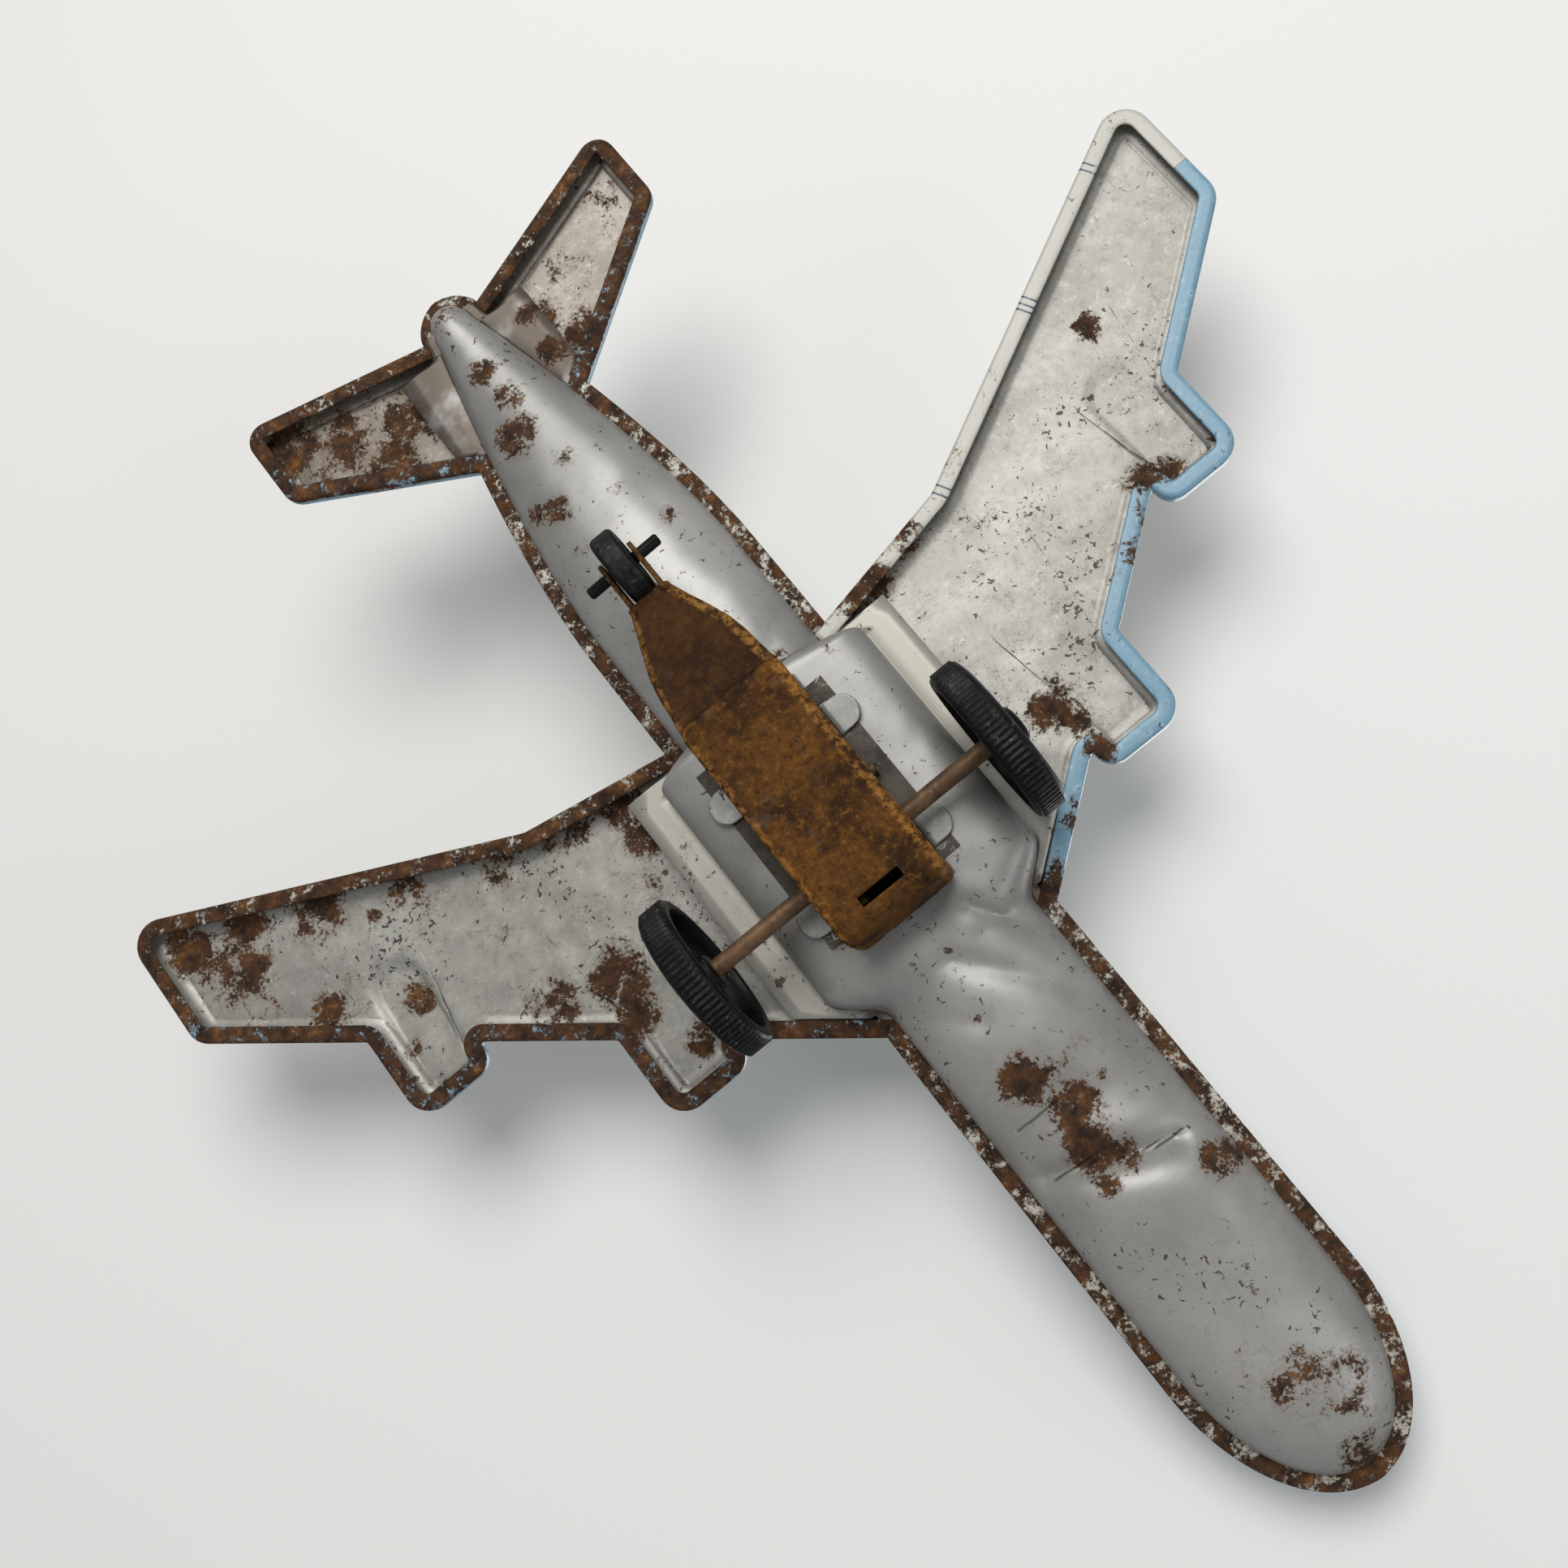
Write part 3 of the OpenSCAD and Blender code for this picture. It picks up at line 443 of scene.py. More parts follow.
def makeTray(name, plan, style, side, spots, hemRust, podRise=0.0, turn=0.0):
    # point(u, v): the profile carried round the outline, then straight lines in to the spine
    outline, normal, spine, isLe = plan
    reach = np.minimum(trayProfile[:, 0], style["cornerR"] - 0.1)
    edge = outline[:, None, :] + normal[:, None, :] * reach[None, :, None]
    heights = np.broadcast_to(trayProfile[None, :, 1], edge.shape[:2])
    share = np.linspace(0.0, 1.0, style["rows"] + 1)[None, 1:, None]
    inner = edge[:, -1:, :] + (spine[:, None, :] - edge[:, -1:, :]) * share
    flat = np.concatenate([edge, inner], 1)
    x, y = flat[..., 0], flat[..., 1]
    depth = np.concatenate([np.broadcast_to(trayProfile[None, :, 0], edge.shape[:2]),
                            np.full(inner.shape[:2], 9.0)], 1)
    z = np.concatenate([heights, np.full(inner.shape[:2], toy["trayDepth"])], 1)
    onSkin = smooth(1.5, 2.0, depth) * (z > 2.9)
    z = z + style["plateau"] * smooth(2.7, 3.3, depth) * (z > 2.9)
    if podRise:
        for podSide in wing["podSides"]:
            mid = podSide - wing["podWidth"] / 2 - 0.3
            le = wingLe(mid)
            rise = podRise if podSide > 60 else 0.6 * podRise
            reach = 13.0 if podSide > 60 else 9.0
            far = nearSegment(x, y, (mid + 0.4, le - 7.0), (mid - 0.6, le + reach - 3.8))
            ridge = 1.0 - smooth(3.5, 4.7, far)
            z = z + rise * ridge * onSkin * smooth(2.6, 3.35, depth)
    z = z + 0.10 * rippleNoise(x, y, 23 if side > 0 else 29, 24.0) * onSkin
    z = z + 0.05 * rippleNoise(x, y, 31 if side > 0 else 37, 7.0) * onSkin
    z[:, 0] += 0.05 * rippleNoise(x[:, 0], y[:, 0], 41, 5.0)
    turned = math.radians(turn)
    px = wing["turnX"] + (x - wing["turnX"]) * math.cos(turned) - z * math.sin(turned) if turn else x
    pz = (x - wing["turnX"]) * math.sin(turned) + z * math.cos(turned) if turn else z
    points = np.stack([side * px, y, toy["rimZ"] + 0.04 + pz], -1)
    rows, columns = x.shape
    hem = (np.arange(columns) < 9)[None, :] * np.ones((rows, 1))
    band = ((np.arange(columns) < len(trayProfile) + 1)[None, :]) * isLe[:, None]
    rust = spotField(x, y, spots)
    edgeRust = hemRust * hem
    piece = makeMesh(name, points, gridFaces(rows, columns),
                     {"rust": np.maximum(rust, edgeRust).ravel(), "hem": hem.ravel(), "band": band.ravel()},
                     flip=side > 0)
    weld(piece)
    print(name + ":", rows, "x", columns)
    return piece


def wingPlan():
    root = wing["rootX"]
    corners = [(root, float(wingLe(root)))]
    radii = [0.0]
    for side in wing["podSides"]:
        inboard = side - wing["podWidth"]
        front = float(wingLe(side)) - wing["podReach"]
        corners += [(inboard, float(wingLe(inboard))), (inboard, front), (side, front),
                    (side, float(wingLe(side)))]
        radii += [0.4, 3.0, 4.0, 0.8]
    return trayPlan(wingLe, wingTe, wing["halfSpan"], wing["tipStart"], wing["cornerR"], corners, radii,
                    wing["step"])


def tailPlan():
    root = tailplane["rootX"]
    return trayPlan(tailLe, tailTe, tailplane["halfSpan"], tailplane["tipStart"], tailplane["cornerR"],
                    [(root, float(tailLe(root)))], [0.0], tailplane["step"])


fuselageUpper = makeFuselage(fuselage)
shellParts = [fuselageUpper]
for sideName, side in (("port", 1.0), ("starboard", -1.0)):
    cap = sideName.capitalize()
    shellParts.append(makeTray("wing_" + sideName, wingPlan(), wing, side, wing["rust" + cap],
                               wing["hemRust" + cap],
                               wing["podRise"][1 if side > 0 else 0], wing["dihedral"]))
    shellParts.append(makeTray("tailplane_" + sideName, tailPlan(), tailplane, side, tailplane["rust" + cap],
                               tailplane["hemRust"]))
for part in shellParts:
    thicken(part, toy["tin"], innerSlot=1)


# lower shell
belly = {
    "front": -106.25,
    "rear": 102.25,
    "inset": 2.8,
    "depth": 8.5,
    "tailDepth": 5.5,
    "panelHalf": 17.6,
    "panelFront": -17.5,
    "panelRamp": 7.0,
    "panelRear": 18.9,
    "panelStep": 3.0,
    "roundPower": 2.3,
    "squarePower": 5.5,
    "flangeZ": 25.16,
    "flapX": 23.5,
    "tailFlapX": 12.0,
    "openHalf": 8.0,  # motor opening, half its width
    "openFront": -15.9,
    "openRear": 19.1,
    # valleys knocked into the sheet: from, to, depth, half width
    "creases": [((9.0, -53.5), (-6.5, -59.5), 1.9, 2.1), ((7.0, -47.0), (-6.0, -50.0), 1.0, 5.5),
                ((-5.5, -20.5), (-12.5, -32.0), 0.75, 1.3), ((1.0, -24.5), (-9.0, -36.5), 0.55, 1.6),
                ((-11.5, -44.0), (-10.5, -70.0), 0.35, 3.0), ((6.0, -70.0), (2.0, -84.0), 0.4, 5.0),
                ((9.5, -27.0), (3.0, -33.0), 0.4, 1.6), ((-6.5, 24.5), (-11.5, 30.0), 0.5, 2.0),
                ((-8.0, 40.0), (-7.0, 57.0), 0.25, 2.2), ((9.0, 33.0), (8.0, 46.0), 0.2, 2.2)],
    "rust": [(3.2, -42, 5.2, 1.0), (0.5, -48, 5.5, 0.95), (2.2, -54, 5.5, 1.0), (3.5, -59, 3.0, 0.8),
             (-1, -44, 4, 0.7), (5.5, -50, 3.5, 0.6), (-0.5, -57, 4.0, 0.85), (-5, -43, 3.5, 0.5),
             (-4.5, -47.5, 1.8, 0.75), (-9.5, -65, 4.2, 0.9), (-12, -60, 2.5, 0.7), (-6.5, -52, 2.0, 0.6),
             (0.2, -91, 8, 0.72), (-4, -94, 7, 0.66), (3, -86, 7, 0.55), (0, -102, 5, 0.8),
             (0.5, 86, 3.5, 0.9), (2.5, 74, 5, 0.95), (0, 80, 4, 0.8), (4.5, 61, 4, 0.8),
             (7.5, 63, 3, 0.85), (-4.5, 58, 3, 0.7), (-7, 49.5, 2.5, 0.75), (5.5, 54, 2.5, 0.6),
             (-1, 67, 4, 0.6), (0, 97, 4, 0.6), (-12.8, 18.5, 2.6, 0.6), (-7, 22.5, 2.6, 0.75),
             (12, 2, 3.5, 0.5), (10.5, -13.6, 2.2, 0.7), (3, -31.8, 2.4, 0.5), (-9, -29, 2.0, 0.45),
             (-9.5, 84, 4.0, 0.95), (-12, 79, 3.5, 1.0), (-10, 91, 4.0, 0.8), (-9, 72, 2.5, 0.8),
             (7, -29, 2.2, 0.45), (16.5, -8, 2.5, 0.6), (21, 12, 3.5, 0.55), (14, -19, 2.5, 0.5),
             (10.5, 70, 3, 0.7)],
}


def panelShare(y):
    s = belly
    return smooth(s["panelFront"] - s["panelRamp"], s["panelFront"], y) * (
        1 - smooth(s["panelRear"], s["panelRear"] + s["panelStep"], y))


def flapEdge(y):
    # how far out the flat edge of the lower shell reaches at y
    plain = bodyHalf(y, 0.7)
    slant = np.clip(toy["halfWidth"] + (y + 23.1) / wing["sweep"], 0.0, belly["flapX"])
    root = np.where((y > -23.1) & (y < 22.0), slant, 0.0)
    tailSlant = np.clip(9.6 + (y - 79.4) / 0.5, 0.0, belly["tailFlapX"])
    tail = np.where((y > 79.4) & (y < 95.6), tailSlant, 0.0)
    return np.maximum(plain, np.maximum(root, tail))


def makeBelly(style):
    # point(y, q): x = w q, z = edge - h (1 - |q|^p)^(1/p); beyond q = 1 a flat flange and the root flaps
    y = np.linspace(style["front"], style["rear"], 236)
    steps = [np.linspace(style["front"], -98.0, 26), np.linspace(toy["coneStart"], style["rear"], 14),
             np.arange(-24.8, -15.8, 0.4),
             np.arange(18.5, 22.8, 0.25),
             np.array([-23.11, -23.09, 21.99, 22.01, 79.39, 79.41, 95.59, 95.61]),
             np.arange(79.5, 82.0, 0.4), np.array([style["openFront"], style["openRear"]]),
             np.arange(-64, -46, 0.4)]
    y = np.unique(np.round(np.concatenate([y] + steps), 3))
    share = panelShare(y)[:, None]
    inset = style["inset"]
    w = bodyHalf(y, inset)[:, None] * (1 - share) + style["panelHalf"] * share
    droop = (style["tailDepth"] - style["depth"]) * smooth(toy["droopStart"], toy["coneY"], y)
    h = ((style["depth"] + droop) * noseShare(y, inset) * coneShare(y, inset))[:, None]
    p = style["roundPower"] + (style["squarePower"] - style["roundPower"]) * share
    half = np.sin(np.linspace(0.0, math.pi / 2, 40)) ** 0.9
    half = np.unique(np.concatenate([half, 1.0 - np.geomspace(0.0004, 0.03, 9)]))
    port = (toy["motorX"] + style["openHalf"]) / style["panelHalf"]
    starboard = (style["openHalf"] - toy["motorX"]) / style["panelHalf"]
    q = np.unique(np.round(np.concatenate([-half, half, [port, -starboard]]), 5))
    x = w * q[None, :]
    shape = (1.0 - np.abs(q)[None, :] ** p) ** (1.0 / p)
    z = 25.5 - h * shape
    # soften where the belly turns out into its flat flange
    z = style["flangeZ"] - np.logaddexp(0.0, (style["flangeZ"] - z - 0.25) / 0.18) * 0.18
    edge = np.maximum(flapEdge(y)[:, None], w + 0.01)
    flangeShare = np.array([0.12, 0.4, 0.7, 1.0])[None, :]
    outX = w + (edge - w) * flangeShare
    outZ = np.full(outX.shape, style["flangeZ"])
    outZ[:, 0] = z[:, -1] * 0.3 + style["flangeZ"] * 0.7
    x = np.concatenate([-outX[:, ::-1], x, outX], 1)
    z = np.concatenate([outZ[:, ::-1], z, outZ], 1)
    yy = np.broadcast_to(y[:, None], x.shape)
    deep = smooth(0.3, 3.0, style["flangeZ"] - z)
    for a, b, amount, wide in style["creases"]:
        far = nearSegment(x, yy, a, b)
        z = z + amount * np.exp(-(far / wide) ** 1.8) * deep
    bulge = nearSegment(x, yy, (6.0, -60.0), (-7.0, -66.0))
    z = z - 0.6 * np.exp(-(bulge / 4.0) ** 2) * deep
    z = z + 0.09 * rippleNoise(x, yy, 3, 22.0) * deep + 0.035 * rippleNoise(x, yy, 8, 6.0) * deep
    points = np.stack([x, yy, z], -1)
    rows, columns = x.shape
    midY = 0.5 * (y[:-1] + y[1:])
    midQ = 0.5 * (q[:-1] + q[1:])
    openColumn = np.zeros(columns - 1, bool)
    openColumn[4:4 + len(midQ)] = (midQ > -starboard) & (midQ < port)
    openRow = (midY > style["openFront"]) & (midY < style["openRear"])
    keep = ~(openRow[:, None] & openColumn[None, :])
    rust = spotField(x, yy, style["rust"])
    rim = 1.0 - smooth(0.0, 1.2, style["flangeZ"] - z)
    flap = (np.abs(x) > 15.2) & (z > 24.8)
    piece = makeMesh("belly_shell", points, gridFaces(rows, columns, keep=keep),
                     {"rust": rust.ravel(), "rim": rim.ravel(), "flap": flap.astype(float).ravel()})
    weld(piece)
    print("belly_shell:", rows, "x", columns)
    return thicken(piece, toy["tin"])


tabs = {"width": 5.0, "reach": 4.6, "z": 16.15, "places": (-9.1, 10.514), "neckTop": 17.3, "gap": 0.4}


def makeTabs(style):
    # each tab: a strip down through the flange, bent out flat, with a round end:
    # reach(v) = r + sqrt(r^2 - v^2)
    made = []
    v = np.linspace(-1.0, 1.0, 25)
    r = style["width"] / 2
    end = style["reach"] - r + np.sqrt(np.maximum(0.0, r * r * (1 - v * v)))
    neck = np.array([[0.28, style["neckTop"]], [0.28, 16.75], [0.33, 16.42], [0.55, 16.2],
                     [0.85, style["z"]]])
    leaf = np.linspace(0.0, 1.0, 12)
    for side in (1.0, -1.0):
        for place in style["places"]:
            x = np.concatenate([np.broadcast_to(neck[None, :, 0], (25, 5)),
                                0.9 + (end[:, None] - 0.9) * leaf], 1)
            z = np.concatenate([np.broadcast_to(neck[None, :, 1], (25, 5)), np.full((25, 12), style["z"])], 1)
            z = z - 0.12 * (x / style["reach"]) ** 2 * (1 if place > 0 else -0.5)
            y = np.broadcast_to((place + r * v)[:, None], x.shape)
            x = toy["motorX"] + side * (toy["motorHalf"] + style["gap"] + x)
            made.append(makeMesh("tab", np.stack([x, y, z], -1), gridFaces(*x.shape), flip=side > 0))
    piece = joinPieces("mounting_tabs", made)
    wall = thicken(piece, 0.5).modifiers["wall"]
    wall.offset = 0.0
    return piece


# motor cover
cover = {
    "sheet": 0.6,
    "z": 4.0,
    "frontY": -16.1,
    "frontTop": 15.5,
    "bendR": 3.0,
    "armZ": 5.0,
    "kneeY": 27.7,
    "kneeHalf": 6.2,
    "forkEnd": 36.3,
    "forkHalf": 2.8,
    "wheelY": 42.3,
    "wheelZ": 5.4,
    "earR": 2.2,
    "slot": (-1.7, 4.7, -13.7, -12.4),  # x from, x to, y from, y to
    "slit": 3.0,  # half width of the slit in the step
}


def makeCover(style):
    # point(s, v): a path in YZ from the front wall, round the bend, along the bottom and out along the arm
    z, armZ, rear = style["z"], style["armZ"], toy["motorRear"]
    corners = [(style["frontY"], style["frontTop"]), (style["frontY"], z), (rear, z), (rear + 0.15, armZ),
               (style["forkEnd"] + 0.6, armZ)]
    line = resample(fillet2d(corners, [0.0, style["bendR"], 0.35, 0.35, 0.0], 9), 0.42)
    lengths = np.linalg.norm(np.diff(line, axis=0), axis=1)
    line = line[np.concatenate([[True], lengths > 1e-3])]
    ahead = np.gradient(line, axis=0)
    ahead /= np.linalg.norm(ahead, axis=1)[:, None]
    inward = np.stack([-ahead[:, 1], ahead[:, 0]], -1)
    y = line[:, 0]
    half = np.where(y < rear, toy["motorHalf"], np.interp(y, [rear, style["kneeY"], style["forkEnd"], 60.0],
                    [toy["motorHalf"], style["kneeHalf"], style["forkHalf"], style["forkHalf"]]))
    half = half + 0.07 * rippleNoise(y * 1.0, line[:, 1] * 1.7, 77, 5.0)
    lip = 0.9 + 1.0 * smooth(rear - 0.5, rear + 2.0, y)
    lip = np.minimum(lip, 2.0)
    # across: the flat, a small bend, then the lip
    flat = np.linspace(-1.0, 1.0, 37)
    slotX = np.array([style["slot"][0], style["slot"][1]]) - toy["motorX"]
    flat = np.unique(np.concatenate([flat, slotX / (toy["motorHalf"] - 0.7)]))
    bend = np.radians([30, 60, 90])
    across = flat[None, :] * (half[:, None] - 0.7)
    up = np.zeros(across.shape)
    bendX = half[:, None] - 0.7 + 0.7 * np.sin(bend)[None, :]
    bendUp = np.broadcast_to((0.7 * (1 - np.cos(bend)))[None, :], bendX.shape)
    lipX = np.broadcast_to(half[:, None], (len(half), 2))
    lipUp = 0.7 + (lip[:, None] - 0.7) * np.array([0.5, 1.0])[None, :]
    x = np.concatenate([-lipX[:, ::-1], -bendX[:, ::-1], across, bendX, lipX], 1)
    rise = np.concatenate([lipUp[:, ::-1], bendUp[:, ::-1], up, bendUp, lipUp], 1)
    pits = 0.10 * rippleNoise(x, y[:, None] + line[:, 1][:, None], 51, 3.1)
    pits = pits + 0.06 * rippleNoise(x, y[:, None] + line[:, 1][:, None], 52, 1.3)
    rise = rise + np.maximum(pits, -0.05) + 0.05
    yy = y[:, None] + inward[:, 0:1] * rise
    zz = line[:, 1][:, None] + inward[:, 1:2] * rise
    points = np.stack([toy["motorX"] + x, yy, zz], -1)
    rows, columns = x.shape
    midY = 0.5 * (y[:-1] + y[1:])
    midZ = 0.5 * (line[:-1, 1] + line[1:, 1])
    midX = toy["motorX"] + 0.5 * (x[0, :-1] + x[0, 1:])
    slot = ((midY > style["slot"][2]) & (midY < style["slot"][3]))[:, None]
    slot = slot & ((midX > style["slot"][0]) & (midX < style["slot"][1]))[None, :]
    slit = ((midZ > z + 0.25) & (midZ < armZ - 0.15) & (midY > 10.0))[:, None]
    slit = slit & (np.abs(midX - toy["motorX"] - 1.5) < style["slit"])[None, :]
    # arm marks the arm behind the step, which the material darkens as painted shade
    arm = smooth(rear - 0.3, rear + 0.6, y)[:, None] * np.ones((1, columns))
    # edge marks the rims, which the material tints orange: rust, and partly a painted highlight
    edge = np.abs(np.arange(columns) - columns / 2) > columns / 2 - 6
    main = makeMesh("strip", points, gridFaces(rows, columns, keep=~(slot | slit)),
                    {"arm": arm.ravel(), "edge": np.broadcast_to(edge,
                                                                 (rows, columns)).astype(float).ravel()})
    weld(main)
    ears = [makeEar(style, side) for side in (1.0, -1.0)]
    tongue = makeTongue(style)
    piece = joinPieces("motor_cover_rusted", [main, tongue] + ears)
    print("motor_cover_rusted:", rows, "x", columns)
    return thicken(piece, style["sheet"])


def makeEar(style, side):
    # flat plate in YZ round the stub: radius(angle) of a circle drawn out towards the fork
    angle = np.linspace(0.0, 2 * math.pi, 49)[:-1]
    reach = style["wheelY"] - style["forkEnd"] + 0.6
    turned = np.abs(np.arctan2(np.sin(angle), np.cos(angle)))  # 0 points backwards, pi towards the fork
    plain = np.full(angle.shape, style["earR"])
    forward = np.where(turned > 1.75, np.minimum(reach / np.maximum(1e-3, -np.cos(angle)),
                       style["earR"] * 0.93 / np.maximum(1e-3, np.abs(np.sin(angle)))), style["earR"])
    radius = np.where(turned > 1.75, np.maximum(plain, forward), plain)
    share = np.linspace(0.0, 1.0, 6)
    r = 0.92 + (radius[:, None] - 0.92) * share[None, :]
    y = style["wheelY"] + r * np.cos(angle)[:, None]
    z = style["wheelZ"] + 0.15 + r * np.sin(angle)[:, None]
    x = np.full(y.shape, toy["motorX"] + side * style["forkHalf"])
    faces = gridFaces(*y.shape, closeRows=True)
    # the ears take the arm's painted shade, and some of the rims' orange, which is rust and partly a painted
    # highlight
    return makeMesh("ear", np.stack([x, y, z], -1), faces, {"arm": 1.0, "edge": 0.4}, flip=side < 0)


def makeTongue(style):
    # the strip pushed out of the slot at the front bend, left curling down a little
    u = np.linspace(0.0, 1.0, 8)
    v = np.linspace(-1.0, 1.0, 9)
    along, across = np.meshgrid(u, v, indexing="ij")
    points = np.stack([3.4 + 1.55 * across, style["slot"][2] - 0.1 - 1.9 * along,
                       style["z"] - 0.02 + 0.9 * along ** 2], -1)
    return makeMesh("tongue", points, gridFaces(8, 9), {"arm": 0.0, "edge": 0.6})


# wheels
mainWheel = {
    "ribs": 84,
    "ribDepth": 0.34,
    "y": -6.5,
    "z": 11.8,
    "middleX": 2.7,
    "track": 49.2,
    # radius and distance outboard; the rows marked by radius 11.8 carry the ribs
    "profile": [(0.0, -1.8), (1.3, -1.8), (2.1, -1.78), (2.45, -1.6), (2.6, -1.3), (2.6, 0.7), (2.8, 0.95),
                (3.2, 1.0), (4.3, 1.0), (4.5, 0.72), (4.9, 0.72), (5.1, 1.0), (6.9, 1.0), (7.1, 0.76),
                (7.6, 0.76), (7.8, 1.0), (9.3, 1.0), (9.65, 0.85), (9.8, 0.5), (9.8, -0.9), (9.8, -1.9),
                (9.9, -2.12), (10.15, -2.2), (10.6, -2.2), (10.95, -2.18), (11.3, -2.03), (11.46, -1.8),
                (11.47, -1.66), (11.8, -1.6), (11.8, -0.8), (11.8, 0.0), (11.8, 0.8), (11.8, 1.6),
                (11.47, 1.66), (11.46, 1.8), (11.3, 2.03), (10.95, 2.2), (10.4, 2.36), (9.8, 2.5),
                (9.3, 2.5), (9.1, 2.3), (8.7, 2.3), (8.5, 2.46), (6.9, 2.4), (5.2, 2.35), (5.0, 2.15),
                (4.4, 2.15), (4.1, 2.4), (3.2, 2.5), (2.9, 2.7), (2.8, 3.1), (2.4, 3.5), (1.6, 3.74),
                (0.8, 3.8), (0.0, 3.8)],
}


def revolveX(name, profile, middle, side, columns, ripple=None, attributes=None):
    # point(a, k): radius r_k turned about X through angle a, at x = middle + side s_k
    profile = np.array(profile, float)
    angle = np.linspace(0.0, 2 * math.pi, columns + 1)[:-1]
    r = np.broadcast_to(profile[None, :, 0], (columns, len(profile))).copy()
    if ripple is not None:
        ribbed = profile[:, 0] > ripple[0] - 1e-6
        r[:, ribbed] -= ripple[1][:, None]
    x = middle[0] + side * np.broadcast_to(profile[None, :, 1], r.shape)
    y = middle[1] + r * np.cos(angle)[:, None]
    z = middle[2] + r * np.sin(angle)[:, None]
    grain = {"wear": r / profile[:, 0].max()} if attributes is None else attributes
    piece = makeMesh(name, np.stack([x, y, z], -1), gridFaces(columns, len(profile), closeRows=True),
                     {k: np.asarray(v).ravel() for k, v in grain.items()}, flip=side > 0)
    weld(piece)
    return piece


def makeWheel(style, side, name):
    steps = 4
    columns = style["ribs"] * steps
    tooth = np.tile(np.array([0.0, 0.0, 1.0, 1.0]), style["ribs"]) * style["ribDepth"]
    middle = (style["middleX"] + side * style["track"] / 2, style["y"], style["z"])
    return revolveX(name, style["profile"], middle, side, columns, (11.8, tooth))


tailWheel = {
    "middle": (1.5, 42.3, 5.4),
    "half": [(0.0, 6.0), (0.6, 6.0), (0.85, 5.75), (0.85, 2.0), (1.05, 1.62), (1.5, 1.5), (3.7, 1.5),
             (3.95, 1.62), (4.1, 1.8), (4.7, 1.8), (5.05, 1.7), (5.3, 1.42), (5.4, 1.05), (5.4, 0.35)],
}

bellyShell = makeBelly(belly)
mountingTabs = makeTabs(tabs)
motorCover = makeCover(cover)
wheelPort = makeWheel(mainWheel, 1.0, "wheel_port_moulded")
wheelStarboard = makeWheel(mainWheel, -1.0, "wheel_starboard_moulded")
tailRound = [(r, -s) for r, s in tailWheel["half"]] + tailWheel["half"][::-1]
tailRoller = revolveX("tail_wheel_moulded", tailRound, tailWheel["middle"], 1.0, 96)


# shader helpers
def addNode(tree, kind, **inputs):
    # a node with its inputs set: a number or colour as the value, a socket as a link
    node = tree.nodes.new("ShaderNode" + kind)
    for key, value in inputs.items():
        name = key.replace("_", " ")
        if isinstance(value, bpy.types.NodeSocket):
            tree.links.new(value, node.inputs[name])
        else:
            node.inputs[name].default_value = value
    return node


def calc(tree, operation, *values):
    node = tree.nodes.new("ShaderNodeMath")
    node.operation = operation
    for slot, value in enumerate(values):
        if isinstance(value, bpy.types.NodeSocket):
            tree.links.new(value, node.inputs[slot])
        else:
            node.inputs[slot].default_value = value
    return node.outputs[0]


def blendColour(tree, share, first, second, mode="MIX"):
    node = tree.nodes.new("ShaderNodeMix")
    node.data_type = "RGBA"
    node.blend_type = mode
    for slot, value in ((0, share), (6, first), (7, second)):
        if isinstance(value, bpy.types.NodeSocket):
            tree.links.new(value, node.inputs[slot])
        else:
            node.inputs[slot].default_value = value if slot == 0 else (*value, 1.0)
    return node.outputs[2]


def ramp(tree, value, low, high, toLow=0.0, toHigh=1.0):
    node = tree.nodes.new("ShaderNodeMapRange")
    node.interpolation_type = "SMOOTHSTEP"
    for name, number in (("Value", value), ("From Min", low), ("From Max", high), ("To Min", toLow),
                         ("To Max", toHigh)):
        if isinstance(number, bpy.types.NodeSocket):
            tree.links.new(number, node.inputs[name])
        else:
            node.inputs[name].default_value = number
    return node.outputs["Result"]


def noise(tree, vector, scale, detail=3.0, roughness=0.5, warp=0.0):
    node = addNode(tree, "TexNoise", Vector=vector, Scale=scale, Detail=detail, Roughness=roughness,
                   Distortion=warp)
    return node.outputs["Fac"]


def shifted(tree, vector, place, turn=(0.0, 0.0, 0.0), scale=(1.0, 1.0, 1.0)):
    node = addNode(tree, "Mapping", Vector=vector, Location=place, Rotation=turn, Scale=scale)
    return node.outputs["Vector"]


def makeGroup(name, inputs, outputs, build):
    # a shader node group with named sockets, filled in by build(tree, input sockets, output sockets)
    tree = bpy.data.node_groups.new(name, "ShaderNodeTree")
    for socket, kind, value in inputs:
        made = tree.interface.new_socket(socket, in_out="INPUT", socket_type="NodeSocket" + kind)
        if value is not None:
            made.default_value = value
    for socket, kind in outputs:
        tree.interface.new_socket(socket, in_out="OUTPUT", socket_type="NodeSocket" + kind)
    start = tree.nodes.new("NodeGroupInput")
    end = tree.nodes.new("NodeGroupOutput")
    build(tree, start.outputs, end.inputs)
    return tree


def useGroup(tree, group, **inputs):
    node = tree.nodes.new("ShaderNodeGroup")
    node.node_tree = group
    for key, value in inputs.items():
        name = key.replace("_", " ")
        if isinstance(value, bpy.types.NodeSocket):
            tree.links.new(value, node.inputs[name])
        else:
            node.inputs[name].default_value = value
    return node.outputs


